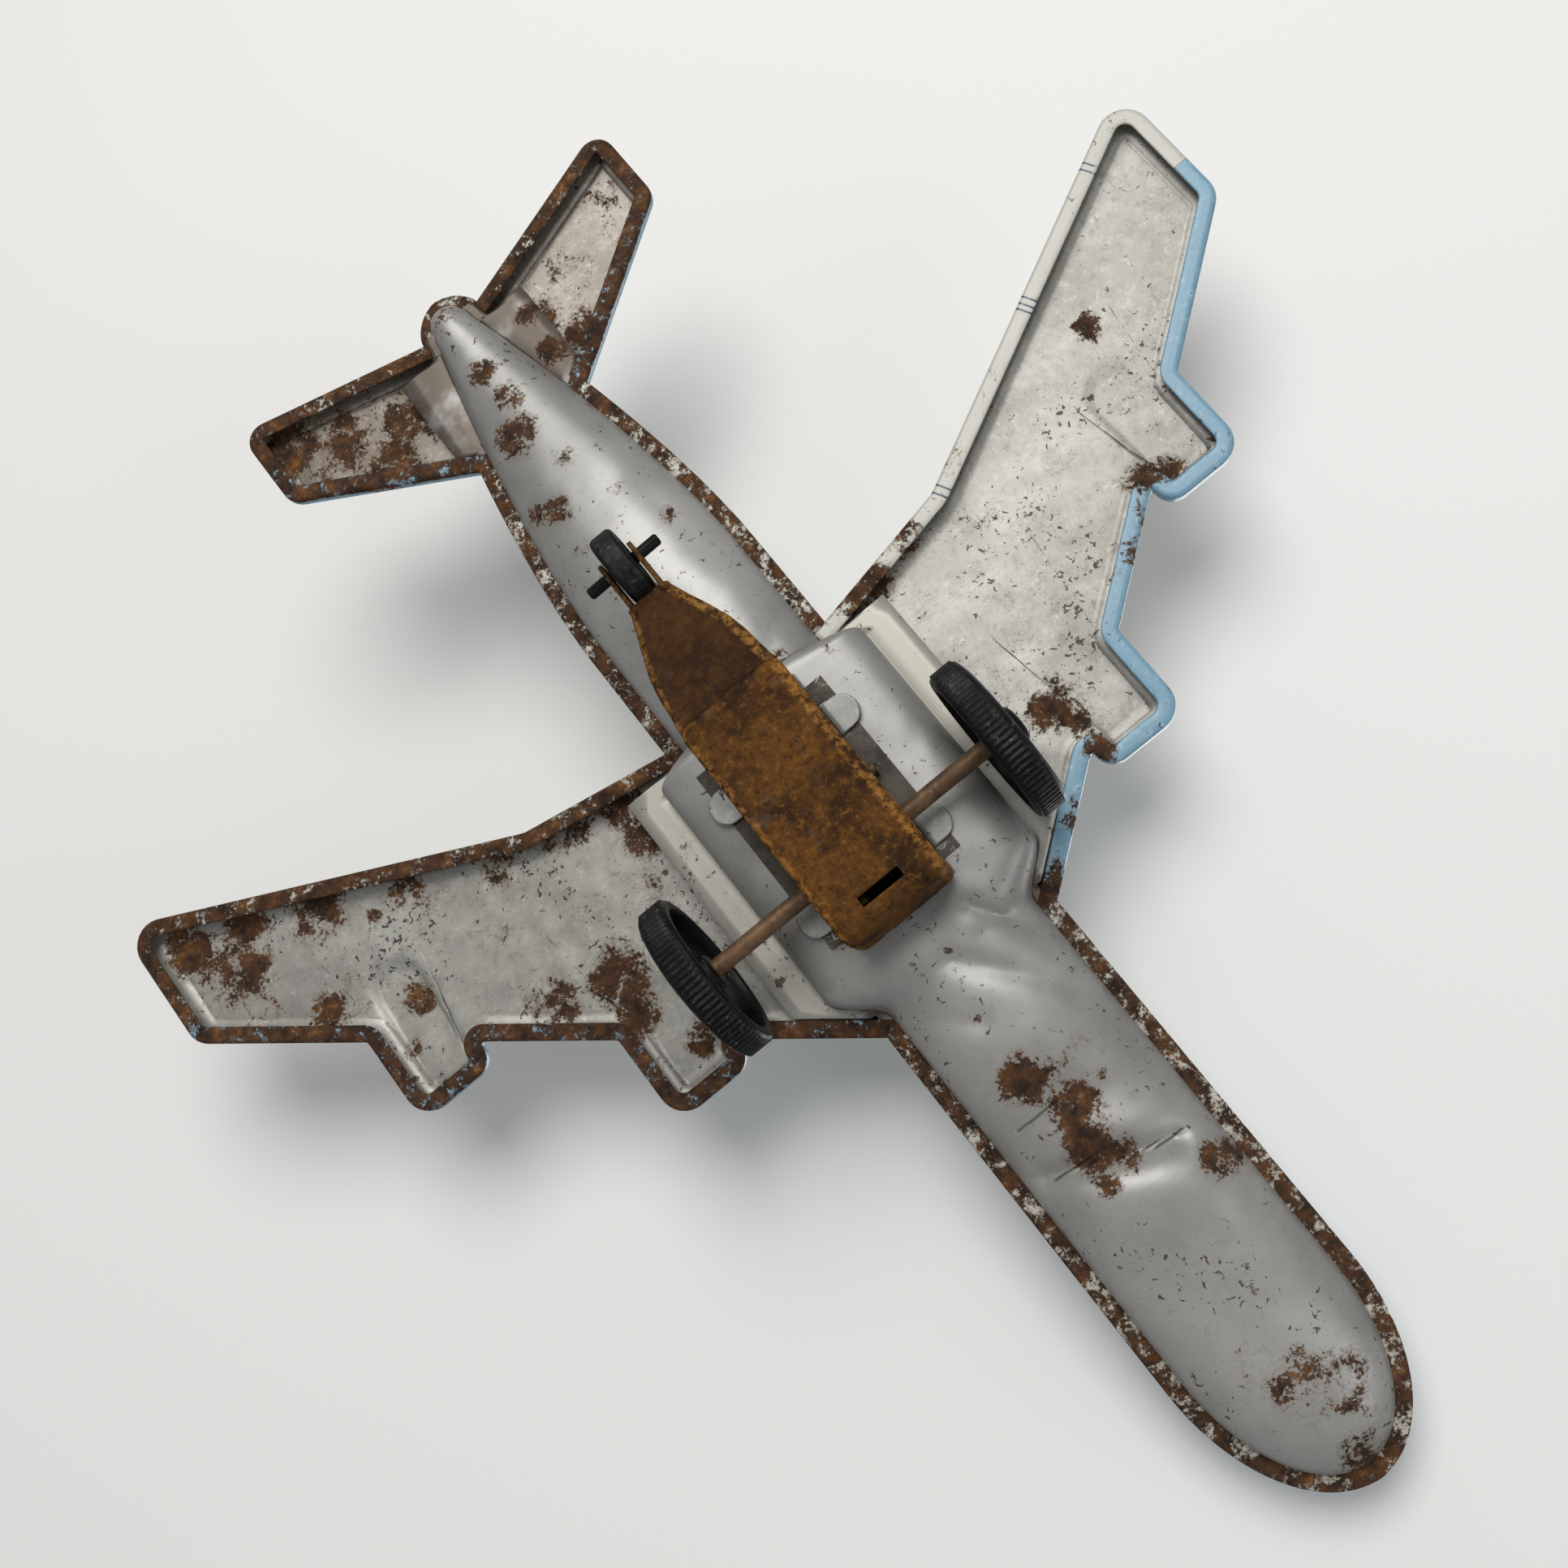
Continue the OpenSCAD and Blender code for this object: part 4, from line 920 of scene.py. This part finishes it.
def rustBuild(tree, given, result):
    # ragged patches where Amount is high: two noises against a falling threshold
    vector = given["Vector"]
    large = noise(tree, vector, given["Scale"], 8.0, 0.70, 0.5)
    fine = noise(tree, shifted(tree, vector, (3.1, 1.7, 0.4)), 1900.0, 5.0, 0.7)
    mixed = calc(tree, "ADD", calc(tree, "MULTIPLY", large, 0.62), calc(tree, "MULTIPLY", fine, 0.38))
    limit = ramp(tree, given["Amount"], 0.0, 1.0, 0.72, 0.425)
    above = calc(tree, "SUBTRACT", mixed, limit)
    mask = ramp(tree, above, -0.008, 0.040)
    halo = ramp(tree, above, -0.085, 0.03)
    tone = noise(tree, shifted(tree, vector, (9.0, 2.0, 5.0)), 430.0, 6.0, 0.7)
    dark = blendColour(tree, ramp(tree, tone, 0.32, 0.60), (0.016, 0.009, 0.006), (0.085, 0.037, 0.014))
    warm = blendColour(tree, ramp(tree, tone, 0.54, 0.76), dark, (0.27, 0.115, 0.030))
    tree.links.new(mask, result["Mask"])
    tree.links.new(halo, result["Halo"])
    tree.links.new(warm, result["Color"])
    tree.links.new(calc(tree, "MULTIPLY", mask, fine), result["Height"])


def scratchBuild(tree, given, result):
    # squiggly hair lines: the contour of a warped noise, broken up by a second noise
    vector = given["Vector"]
    field = noise(tree, vector, given["Scale"], 2.5, 0.55, 1.6)
    away = calc(tree, "ABSOLUTE", calc(tree, "SUBTRACT", field, 0.5))
    line = ramp(tree, away, 0.0, given["Width"], 1.0, 0.0)
    other = noise(tree, shifted(tree, vector, (5.0, 8.0, 2.0)), given["Scale"], 2.0, 0.6, 2.2)
    away = calc(tree, "ABSOLUTE", calc(tree, "SUBTRACT", other, 0.46))
    second = ramp(tree, away, 0.0, given["Width"], 1.0, 0.0)
    broken = ramp(tree, noise(tree, shifted(tree, vector, (1.0, 4.0, 7.0)), 260.0, 3.0, 0.6), 0.47, 0.60)
    both = calc(tree, "MAXIMUM", line, second)
    tree.links.new(calc(tree, "MULTIPLY", both, broken), result["Mask"])


def speckBuild(tree, given, result):
    # small ragged specks, thrown unevenly: the peaks of a fine noise, lifted where a coarse one is high
    vector = given["Vector"]
    fine = noise(tree, vector, given["Scale"], 3.5, 0.62, 0.6)
    clump = ramp(tree, noise(tree, vector, 85.0, 4.0, 0.6), 0.36, 0.66)
    lift = calc(tree, "MULTIPLY", clump, given["Amount"])
    mask = ramp(tree, calc(tree, "ADD", fine, calc(tree, "MULTIPLY", lift, 0.14)), 0.712, 0.742)
    tree.links.new(mask, result["Mask"])


rustPatches = makeGroup("rustPatches", [("Vector", "Vector", None), ("Amount", "Float", 0.3),
                                        ("Scale", "Float", 240.0)],
                        [("Mask", "Float"), ("Halo", "Float"), ("Color", "Color"), ("Height", "Float")],
                        rustBuild)
hairScratches = makeGroup("hairScratches", [("Vector", "Vector", None), ("Scale", "Float", 300.0),
                                            ("Width", "Float", 0.012)], [("Mask", "Float")], scratchBuild)
darkSpecks = makeGroup("darkSpecks", [("Vector", "Vector", None), ("Scale", "Float", 700.0),
                                      ("Amount", "Float", 0.6)],
                       [("Mask", "Float")], speckBuild)


def newMaterial(name, **constants):
    # a material with a Principled shader; constants are set on the shader's own sockets
    material = bpy.data.materials.new(name)
    material.use_nodes = True
    tree = material.node_tree
    shader = tree.nodes["Principled BSDF"]
    for key, value in constants.items():
        shader.inputs[key.replace("_", " ")].default_value = value
    place = tree.nodes.new("ShaderNodeTexCoord").outputs["Object"]
    return material, tree, shader, place


def guide(tree, name):
    node = tree.nodes.new("ShaderNodeAttribute")
    node.attribute_name = name
    return node.outputs["Fac"]


def bump(tree, shader, height, strength, distance):
    node = addNode(tree, "Bump", Height=height, Strength=strength, Distance=distance)
    tree.links.new(node.outputs["Normal"], shader.inputs["Normal"])


def feed(tree, shader, **sockets):
    for key, socket in sockets.items():
        tree.links.new(socket, shader.inputs[key.replace("_", " ")])


def stripeMask(tree, value, middle, half, soft=0.00006):
    # 1 where value is within half of middle
    far = calc(tree, "ABSOLUTE", calc(tree, "SUBTRACT", value, middle))
    return ramp(tree, far, half - soft, half + soft, 1.0, 0.0)


def over(tree, colour, mask, share, tint):
    # lays a tint over a colour where the mask is 1, as strongly as share says
    return blendColour(tree, calc(tree, "MULTIPLY", mask, share), colour, tint)


def marks(tree, place, colour, group, share, tint, **settings):
    # the same, with the mask of the scratch or speck group
    return over(tree, colour, useGroup(tree, group, Vector=place, **settings)["Mask"], share, tint)


def addRust(tree, shader, place, colour, roughness, amount, scale=240.0, metal=None, height=None,
            depth=0.00012,
            coat=0.0):
    # lays rust over a finish: where it lies the finish loses its shine, its metal and its lacquer
    rust = useGroup(tree, rustPatches, Vector=place, Amount=amount, Scale=scale)
    stained = over(tree, colour, rust["Halo"], 0.55, (0.17, 0.100, 0.050))
    feed(tree, shader, Base_Color=blendColour(tree, rust["Mask"], stained, rust["Color"]))
    feed(tree, shader, Roughness=ramp(tree, rust["Mask"], 0.0, 1.0, roughness, 0.88))
    if metal is not None:
        feed(tree, shader, Metallic=ramp(tree, rust["Halo"], 0.0, 1.0, metal, 0.0))
    if coat > 0.0:
        feed(tree, shader, Coat_Weight=ramp(tree, rust["Halo"], 0.2, 1.0, coat, 0.0))
    relief = rust["Height"] if height is None else calc(tree, "ADD", rust["Height"], height)
    bump(tree, shader, relief, 0.8, depth)


# the printed side of the tin, lengths in mm
printed = {
    "cream": (0.60, 0.59, 0.525),
    "sky": (0.19, 0.36, 0.48),
    "ink": (0.025, 0.06, 0.13),
    "linePlaces": (53.0, 54.4, 86.0, 87.0, 88.2, 111.4, 112.6),  # along the trailing edge
    "lineSlope": 0.51,
    "lineHalf": 0.17,
    "beltZ": 31.8,
    "beltHalf": 2.1,
    "beltLines": (34.1, 29.5),
    "windowPitch": 5.2,
    "windowZ": 31.9,
    "windowHalf": 1.0,
    "cabinY": -4.0,  # middle and half length of the row of windows
    "cabinHalf": 66.0,
    "pilotY": -89.5,
    "pilotHalf": 3.2,
    "pilotZ": (31.6, 35.2),
}
fin = {
    "beltZ": 55.5,
    "beltHalf": 4.6,
    "lineZ": (49.4, 47.9, 61.6),
    "rustZ": (29.0, 34.0),  # rust thins out over this height
}


def printedTin(name):
    # a lacquered material with the uneven cream ground of the print
    material, tree, shader, place = newMaterial(name, Coat_Roughness=0.22, Specular_IOR_Level=0.35)
    axes = addNode(tree, "SeparateXYZ", Vector=place).outputs
    tint = noise(tree, place, 60.0, 5.0, 0.6)
    colour = blendColour(tree, tint, printed["cream"], tuple(0.86 * c for c in printed["cream"]))
    return material, tree, shader, place, axes, colour


def lineMask(tree, value, places):
    # the thin printed lines across value at these places
    half = printed["lineHalf"] * mm
    lines = stripeMask(tree, value, places[0] * mm, half)
    for step in places[1:]:
        lines = calc(tree, "MAXIMUM", lines, stripeMask(tree, value, step * mm, half))
    return lines


def wearPrint(tree, shader, place, colour, rusted, patchScale=40.0, top=0.8, most=0.4):
    # scuffs, dark specks and rust over a print
    colour = marks(tree, place, colour, hairScratches, 0.45, (0.30, 0.27, 0.22), Scale=420.0, Width=0.006)
    colour = marks(tree, place, colour, darkSpecks, 0.8, (0.05, 0.035, 0.025), Scale=900.0, Amount=0.75)
    patches = ramp(tree, noise(tree, place, patchScale, 3.0), 0.45, top, 0.12, most)
    addRust(tree, shader, place, colour, 0.36, calc(tree, "MAXIMUM", rusted, patches), 420.0, coat=0.35)


def printedWing(name):
    material, tree, shader, place, axes, colour = printedTin(name)
    along = calc(tree, "MULTIPLY", axes["Y"], printed["lineSlope"])
    along = calc(tree, "ADD", calc(tree, "ABSOLUTE", axes["X"]), along)
    band = guide(tree, "band")
    wear = noise(tree, place, 900.0, 5.0, 0.7)
    sky = blendColour(tree, ramp(tree, wear, 0.52, 0.70), printed["sky"], (0.32, 0.50, 0.60))
    colour = blendColour(tree, ramp(tree, band, 0.49, 0.51), colour, sky)
    lines = lineMask(tree, along, printed["linePlaces"])
    lines = calc(tree, "MULTIPLY", lines, ramp(tree, band, 0.40, 0.44, 1.0, 0.0))
    lines = calc(tree, "MAXIMUM", lines, stripeMask(tree, band, 0.44, 0.05, 0.01))
    kept = ramp(tree, noise(tree, place, 1500.0, 4.0), 0.30, 0.42)
    colour = over(tree, colour, lines, kept, printed["ink"])
    wearPrint(tree, shader, place, colour, guide(tree, "rust"))
    return material


def printedBody(name):
    material, tree, shader, place, axes, colour = printedTin(name)
    belt = stripeMask(tree, axes["Z"], printed["beltZ"] * mm, printed["beltHalf"] * mm, 0.0001)
    colour = blendColour(tree, belt, colour, printed["sky"])
    edges = [stripeMask(tree, axes["Z"], z * mm, 0.00016) for z in printed["beltLines"]]
    edges = calc(tree, "MAXIMUM", *edges)
    pitch = printed["windowPitch"] * mm
    phase = calc(tree, "SUBTRACT", calc(tree, "FRACT", calc(tree, "DIVIDE", axes["Y"], pitch)), 0.5)
    tall = stripeMask(tree, axes["Z"], printed["windowZ"] * mm, printed["windowHalf"] * mm, 0.0002)
    wide = stripeMask(tree, phase, 0.0, 0.23, 0.04)
    cabin = stripeMask(tree, axes["Y"], printed["cabinY"] * mm, printed["cabinHalf"] * mm, 0.0002)
    windows = calc(tree, "MULTIPLY", calc(tree, "MULTIPLY", tall, wide), cabin)
    colour = blendColour(tree, calc(tree, "MAXIMUM", edges, windows), colour, printed["ink"])
    pilotY = stripeMask(tree, axes["Y"], printed["pilotY"] * mm, printed["pilotHalf"] * mm, 0.0002)
    low, high = (z * mm for z in printed["pilotZ"])
    soft = 0.0003
    pilotZ = calc(tree, "MULTIPLY", ramp(tree, axes["Z"], low, low + soft),
                  ramp(tree, axes["Z"], high, high + soft, 1.0, 0.0))
    colour = over(tree, colour, pilotY, pilotZ, printed["ink"])
    hem = calc(tree, "MULTIPLY", guide(tree, "hem"), 0.80)
    wearPrint(tree, shader, place, colour, calc(tree, "MAXIMUM", guide(tree, "rust"), hem))
    return material


def printedFin(name):
    material, tree, shader, place, axes, colour = printedTin(name)
    belt = stripeMask(tree, axes["Z"], fin["beltZ"] * mm, fin["beltHalf"] * mm)
    colour = blendColour(tree, belt, colour, printed["sky"])
    colour = blendColour(tree, lineMask(tree, axes["Z"], fin["lineZ"]), colour, printed["ink"])
    foot = ramp(tree, axes["Z"], fin["rustZ"][0] * mm, fin["rustZ"][1] * mm, 0.75, 0.0)
    wearPrint(tree, shader, place, colour, foot, 70.0, 0.75, 0.55)
    return material


# bare tin
def bareTin(name, base=(0.47, 0.465, 0.425), shade=(0.33, 0.32, 0.29), rustiness=0.0):
    # the unprinted inside: dull tinplate with squiggles, specks, grime and rust
    material, tree, shader, place = newMaterial(name, Specular_IOR_Level=0.35)
    cloud = noise(tree, place, 55.0, 6.0, 0.62)
    colour = blendColour(tree, ramp(tree, cloud, 0.32, 0.68), shade, base)
    mottled = noise(tree, shifted(tree, place, (2.0, 3.0, 1.0)), 700.0, 5.0, 0.72)
    colour = blendColour(tree, ramp(tree, mottled, 0.50, 0.72, 0.0, 0.45), colour, (0.19, 0.175, 0.15))
    colour = blendColour(tree, ramp(tree, mottled, 0.46, 0.30, 0.0, 0.35), colour, (0.66, 0.65, 0.61))
    colour = marks(tree, place, colour, hairScratches, 0.72, (0.12, 0.11, 0.095), Scale=330.0, Width=0.011)
    aside = shifted(tree, place, (0.3, 0.7, 0.2))
    colour = marks(tree, aside, colour, hairScratches, 0.35, (0.80, 0.79, 0.75), Scale=210.0, Width=0.006)
    colour = marks(tree, place, colour, darkSpecks, 0.9, (0.035, 0.025, 0.018), Scale=1050.0, Amount=1.0)
    amount = calc(tree, "MAXIMUM", guide(tree, "rust"), 0.14 + rustiness)
    relief = calc(tree, "MULTIPLY", mottled, 0.25)
    addRust(tree, shader, place, colour, 0.46, amount, 260.0, 0.42, relief, 0.0001)
    return material


def bellyTin(name):
    # silvery tin, cloudy and hazed brown, whiter on the flaps and grimy along the rim
    material, tree, shader, place = newMaterial(name, Specular_IOR_Level=0.35)
    cloud = noise(tree, place, 38.0, 5.0, 0.6)
    colour = blendColour(tree, ramp(tree, cloud, 0.3, 0.7), (0.285, 0.283, 0.270), (0.435, 0.432, 0.415))
    haze = noise(tree, shifted(tree, place, (2.0, 3.0, 1.0)), 620.0, 5.0, 0.7)
    colour = blendColour(tree, ramp(tree, haze, 0.56, 0.76, 0.0, 0.5), colour, (0.30, 0.27, 0.23))
    flap = guide(tree, "flap")
    colour = over(tree, colour, flap, 0.75, (0.47, 0.455, 0.395))
    grime = calc(tree, "MULTIPLY", guide(tree, "rim"), noise(tree, place, 210.0, 4.0))
    grime = ramp(tree, grime, 0.12, 0.52, 0.0, 0.9)
    colour = over(tree, colour, grime, calc(tree, "SUBTRACT", 1.0, flap), (0.10, 0.075, 0.055))
    colour = marks(tree, place, colour, hairScratches, 0.5, (0.20, 0.19, 0.18), Scale=170.0, Width=0.006)
    colour = marks(tree, place, colour, darkSpecks, 0.85, (0.06, 0.035, 0.02), Scale=820.0, Amount=0.85)
    amount = calc(tree, "MAXIMUM", guide(tree, "rust"), 0.10)
    addRust(tree, shader, place, colour, 0.43, amount, 230.0, 0.42, calc(tree, "MULTIPLY", haze, 0.12))
    return material


# steel, plastic and brass
def rustedSteel(name):
    # heavy rust: brown and orange scale with dark pits, with painted shade on the arm and an orange rim that
    # is rust and partly a painted highlight
    material, tree, shader, place = newMaterial(name, Specular_IOR_Level=0.15)
    large = noise(tree, place, 150.0, 6.0, 0.65, 0.5)
    fine = noise(tree, shifted(tree, place, (4.0, 1.0, 6.0)), 900.0, 7.0, 0.75)
    colour = blendColour(tree, ramp(tree, large, 0.34, 0.62), (0.040, 0.019, 0.009), (0.150, 0.062, 0.014))
    colour = blendColour(tree, ramp(tree, fine, 0.52, 0.70, 0.0, 0.85), colour, (0.30, 0.140, 0.030))
    colour = blendColour(tree, ramp(tree, fine, 0.50, 0.34, 0.0, 0.8), colour, (0.030, 0.017, 0.011))
    rubbed = noise(tree, shifted(tree, place, (7.0, 7.0, 0.0)), 210.0, 5.0, 0.7)
    worn = ramp(tree, rubbed, 0.58, 0.68, 0.0, 0.45)
    colour = blendColour(tree, worn, colour, (0.12, 0.090, 0.068))
    # painted shade: the arm behind the step is darkened towards near-black
    colour = over(tree, colour, guide(tree, "arm"), 0.62, (0.042, 0.021, 0.011))
    # orange along the rims: rust, and partly a painted highlight on the edges
    colour = over(tree, colour, guide(tree, "edge"), ramp(tree, fine, 0.42, 0.60, 0.0, 0.7),
                  (0.46, 0.22, 0.05))
    feed(tree, shader, Base_Color=colour, Roughness=ramp(tree, worn, 0.0, 1.0, 0.9, 0.6))
    relief = calc(tree, "ADD", calc(tree, "MULTIPLY", large, 0.5), calc(tree, "MULTIPLY", fine, 0.9))
    bump(tree, shader, relief, 1.0, 0.00045)
    return material


def agedSteel(name, base, dark, rough, metal, rustAmount):
    # dull steel gone brown, with bright rubbed squiggles left in it
    material, tree, shader, place = newMaterial(name)
    large = noise(tree, place, 190.0, 6.0, 0.68)
    fine = noise(tree, shifted(tree, place, (4.0, 1.0, 6.0)), 1300.0, 6.0, 0.72)
    colour = blendColour(tree, ramp(tree, large, 0.35, 0.65), dark, base)
    colour = blendColour(tree, ramp(tree, fine, 0.54, 0.72, 0.0, 0.6), colour,
                         tuple(min(1.0, 1.9 * c) for c in base))
    bright = useGroup(tree, hairScratches, Vector=place, Scale=240.0, Width=0.02)["Mask"]
    some = ramp(tree, noise(tree, place, 130.0, 2.0), 0.55, 0.66)
    colour = over(tree, colour, bright, some, (0.62, 0.60, 0.57))
    addRust(tree, shader, place, colour, rough, rustAmount, 300.0, metal, calc(tree, "MULTIPLY", fine, 0.5))
    return material


def blackPlastic(name):
    material, tree, shader, place = newMaterial(name, Specular_IOR_Level=0.16)
    wear = guide(tree, "wear")
    fine = noise(tree, place, 1500.0, 5.0, 0.7)
    dust = noise(tree, shifted(tree, place, (1.0, 2.0, 3.0)), 330.0, 5.0, 0.65)
    colour = blendColour(tree, ramp(tree, dust, 0.45, 0.75), (0.0035, 0.0040, 0.0042), (0.010, 0.011, 0.0105))
    rubbed = calc(tree, "MULTIPLY", ramp(tree, wear, 0.972, 0.998), ramp(tree, fine, 0.40, 0.62, 0.15, 0.8))
    colour = blendColour(tree, rubbed, colour, (0.030, 0.032, 0.031))
    colour = marks(tree, place, colour, darkSpecks, 0.6, (0.20, 0.16, 0.11), Scale=1500.0, Amount=0.8)
    feed(tree, shader, Base_Color=colour, Roughness=ramp(tree, dust, 0.3, 0.8, 0.34, 0.62))
    bump(tree, shader, fine, 0.35, 0.00006)
    return material


def cutBrass(name):
    material, tree, shader, place = newMaterial(name)
    cloud = noise(tree, place, 420.0, 5.0, 0.65)
    fine = noise(tree, place, 2600.0, 4.0, 0.7)
    colour = blendColour(tree, ramp(tree, cloud, 0.36, 0.66), (0.42, 0.27, 0.09), (0.68, 0.50, 0.20))
    colour = blendColour(tree, ramp(tree, fine, 0.58, 0.74, 0.0, 0.5), colour, (0.12, 0.075, 0.03))
    feed(tree, shader, Base_Color=colour, Roughness=ramp(tree, cloud, 0.3, 0.7, 0.30, 0.52),
         Metallic=ramp(tree, fine, 0.58, 0.74, 1.0, 0.5))
    bump(tree, shader, fine, 0.4, 0.00005)
    return material


wingPrint = printedWing("printed_wing")
bodyPrint = printedBody("printed_body")
finPrint = printedFin("printed_fin")
insideTin = bareTin("bare_tin")
tailTin = bareTin("bare_tin_tail", (0.36, 0.33, 0.29), (0.22, 0.19, 0.155), 0.30)
bellyPaint = bellyTin("silvered_belly")
coverRust = rustedSteel("rusted_cover")
flangeSteel = agedSteel("flange_steel", (0.085, 0.073, 0.060), (0.032, 0.026, 0.021), 0.55, 0.5, 0.34)
axleSteel = agedSteel("axle_steel", (0.21, 0.125, 0.065), (0.085, 0.045, 0.022), 0.55, 0.5, 0.36)
pillarSteel = agedSteel("pillar_steel", (0.20, 0.17, 0.14), (0.09, 0.07, 0.055), 0.5, 0.7, 0.30)
washerSteel = agedSteel("washer_steel", (0.36, 0.35, 0.33), (0.20, 0.19, 0.17), 0.42, 0.8, 0.22)
wheelPlastic = blackPlastic("black_plastic")
gearBrass = cutBrass("gear_brass")
flywheelIron = agedSteel("flywheel_iron", (0.26, 0.26, 0.26), (0.13, 0.13, 0.13), 0.4, 0.85, 0.22)
tabMetal = bareTin("tab_tin", (0.42, 0.42, 0.40), (0.30, 0.30, 0.285))


def dress(piece, *materials):
    piece.data.materials.clear()
    for material in materials:
        piece.data.materials.append(material)


dress(fuselageUpper, bodyPrint, insideTin)
for part in shellParts[1:]:
    dress(part, wingPrint, insideTin if "wing_" in part.name else tailTin)
dress(bellyShell, bellyPaint)
dress(mountingTabs, tabMetal)
dress(motorCover, coverRust)
for part in (wheelPort, wheelStarboard, tailRoller):
    dress(part, wheelPlastic)
finishes = {
    "frame_plate_port": flangeSteel, "frame_plate_starboard": flangeSteel,
    "front_pillar": pillarSteel, "rear_pillar": pillarSteel, "top_pillar": pillarSteel,
    "main_axle": axleSteel, "axle_washers": washerSteel, "intermediate_shaft": axleSteel,
    "flywheel_shaft": washerSteel, "flywheel": flywheelIron, "tail_fin": finPrint,
    "drive_gear": gearBrass, "intermediate_pinion": gearBrass, "intermediate_gear": gearBrass,
    "flywheel_pinion": gearBrass,
}
for node, material in finishes.items():
    dress(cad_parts[node], material)
print("materials:", len(bpy.data.materials))

for part in shellParts:
    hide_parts("upper_shell")
    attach(part, "airframe")
for part, body, node, finish in ((bellyShell, "airframe", "lower_shell", "belly_tin"),
                                 (mountingTabs, "airframe", "lower_shell", "belly_tin"),
                                 (motorCover, "airframe", "motor_cover", "rusted_steel"),
                                 (wheelPort, "axle", "wheel_port", "black_plastic"),
                                 (wheelStarboard, "axle", "wheel_starboard", "black_plastic"),
                                 (tailRoller, "tail_wheel_unit", "tail_wheel", "black_plastic")):
    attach(part, body)
    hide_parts(node)


# camera, light and tables
camera = {
    "place": (-9.517, -44.058, -204.329),
    "right": (-0.7701688563, -0.6090473741, 0.1894761959),
    "down": (0.6352100667, -0.7593187210, 0.1412205759),
    "ahead": (0.0578628018, 0.2291208765, 0.9716766541),
    "lens": 38.61,
}
studio = {
    "world": 0.33,
    "key": 3.7,
    "keySize": 0.55,
    "keyReach": 0.75,
    "fill": 0.9,
    "top": 3.0,
    "restZ": 38.5,  # height of the table under the upturned back, over the nose
    "restSlope": 0.159,
    "restY": -70.0,
}


def makeCamera(view):
    lens = bpy.data.cameras.new("camera")
    lens.lens = view["lens"]
    lens.sensor_width = 36.0
    lens.clip_start = 0.005
    lens.clip_end = 20.0
    body = bpy.data.objects.new("camera", lens)
    bpy.context.scene.collection.objects.link(body)
    right, down, ahead = (Vector(view[k]) for k in ("right", "down", "ahead"))
    turn = Matrix((right, -down, -ahead)).transposed().to_4x4()
    body.matrix_world = Matrix.Translation(Vector(view["place"]) * mm) @ turn
    bpy.context.scene.camera = body
    return body


def makeLight(name, place, target, size, power, colour=(1.0, 1.0, 1.0)):
    lamp = bpy.data.lights.new(name, "AREA")
    lamp.shape = "DISK"
    lamp.size = size
    lamp.energy = power
    lamp.color = colour
    light = bpy.data.objects.new(name, lamp)
    bpy.context.scene.collection.objects.link(light)
    light.location = place
    light.rotation_euler = (Vector(target) - Vector(place)).to_track_quat("-Z", "Y").to_euler()
    return light


def oneSidedPaper(name, colour):
    # pale paper that is seen from one side only and fades out at a grazing angle
    material = bpy.data.materials.new(name)
    material.use_nodes = True
    nodes, links = material.node_tree.nodes, material.node_tree.links
    nodes.clear()
    out = nodes.new("ShaderNodeOutputMaterial")
    paper = nodes.new("ShaderNodeBsdfDiffuse")
    clear = nodes.new("ShaderNodeBsdfTransparent")
    mix = nodes.new("ShaderNodeMixShader")
    geometry = nodes.new("ShaderNodeNewGeometry")
    paper.inputs["Color"].default_value = (*colour, 1.0)
    facing = nodes.new("ShaderNodeLayerWeight")
    graze = nodes.new("ShaderNodeMapRange")
    graze.inputs["From Min"].default_value = 0.90
    graze.inputs["From Max"].default_value = 0.97
    links.new(facing.outputs["Facing"], graze.inputs["Value"])
    pick = nodes.new("ShaderNodeMath")
    pick.operation = "MAXIMUM"
    links.new(geometry.outputs["Backfacing"], pick.inputs[0])
    links.new(graze.outputs["Result"], pick.inputs[1])
    links.new(pick.outputs[0], mix.inputs["Fac"])
    links.new(paper.outputs[0], mix.inputs[1])
    links.new(clear.outputs[0], mix.inputs[2])
    links.new(mix.outputs[0], out.inputs["Surface"])
    return material


def makeTable(name, height, slope, middleY, faceUp, colour):
    # z = height + slope (y - middleY); the front of the face looks up or down
    half = 1400.0
    y = np.array([-half, half])
    xs, ys = np.meshgrid(np.array([-half, half]), y)
    points = np.stack([xs, ys, height + slope * (ys - middleY)], -1)
    table = makeMesh(name, points, gridFaces(2, 2), flip=not faceUp)
    table.data.materials.append(oneSidedPaper(name + "_paper", colour))
    table.visible_shadow = False
    table.visible_diffuse = False
    table.visible_glossy = False
    table.visible_transmission = False
    return table


def makeStage(style):
    world = bpy.data.worlds.new("soft_room")
    world.use_nodes = True
    background = world.node_tree.nodes["Background"]
    background.inputs["Color"].default_value = (0.97, 0.975, 0.98, 1.0)
    background.inputs["Strength"].default_value = style["world"]
    bpy.context.scene.world = world
    makeTable("rest_table", style["restZ"], style["restSlope"], style["restY"], False, (0.90, 0.90, 0.89))
    makeTable("floor", -0.02, 0.0, 0.0, True, (0.80, 0.80, 0.79))
    ahead, down = Vector(camera["ahead"]), Vector(camera["down"])
    middle = Vector((0.0, 0.0, 0.03))
    right = Vector(camera["right"])
    key = middle - (ahead * 0.74 + down * 0.62 + right * 0.28).normalized() * style["keyReach"]
    makeLight("key_window", key, middle, style["keySize"], style["key"], (1.0, 0.985, 0.96))
    fill = middle - (ahead * 0.7 - right * 0.7 - down * 0.1).normalized() * 0.8
    makeLight("fill_wall", fill, middle, 0.5, style["fill"], (0.95, 0.97, 1.0))
    makeLight("top_panel", (-0.25, -0.35, 0.75), middle, 0.7, style["top"], (1.0, 0.99, 0.97))


makeCamera(camera)
makeStage(studio)
bpy.context.scene.view_settings.view_transform = "Standard"
bpy.context.scene.view_settings.look = "None"
print("stage set")
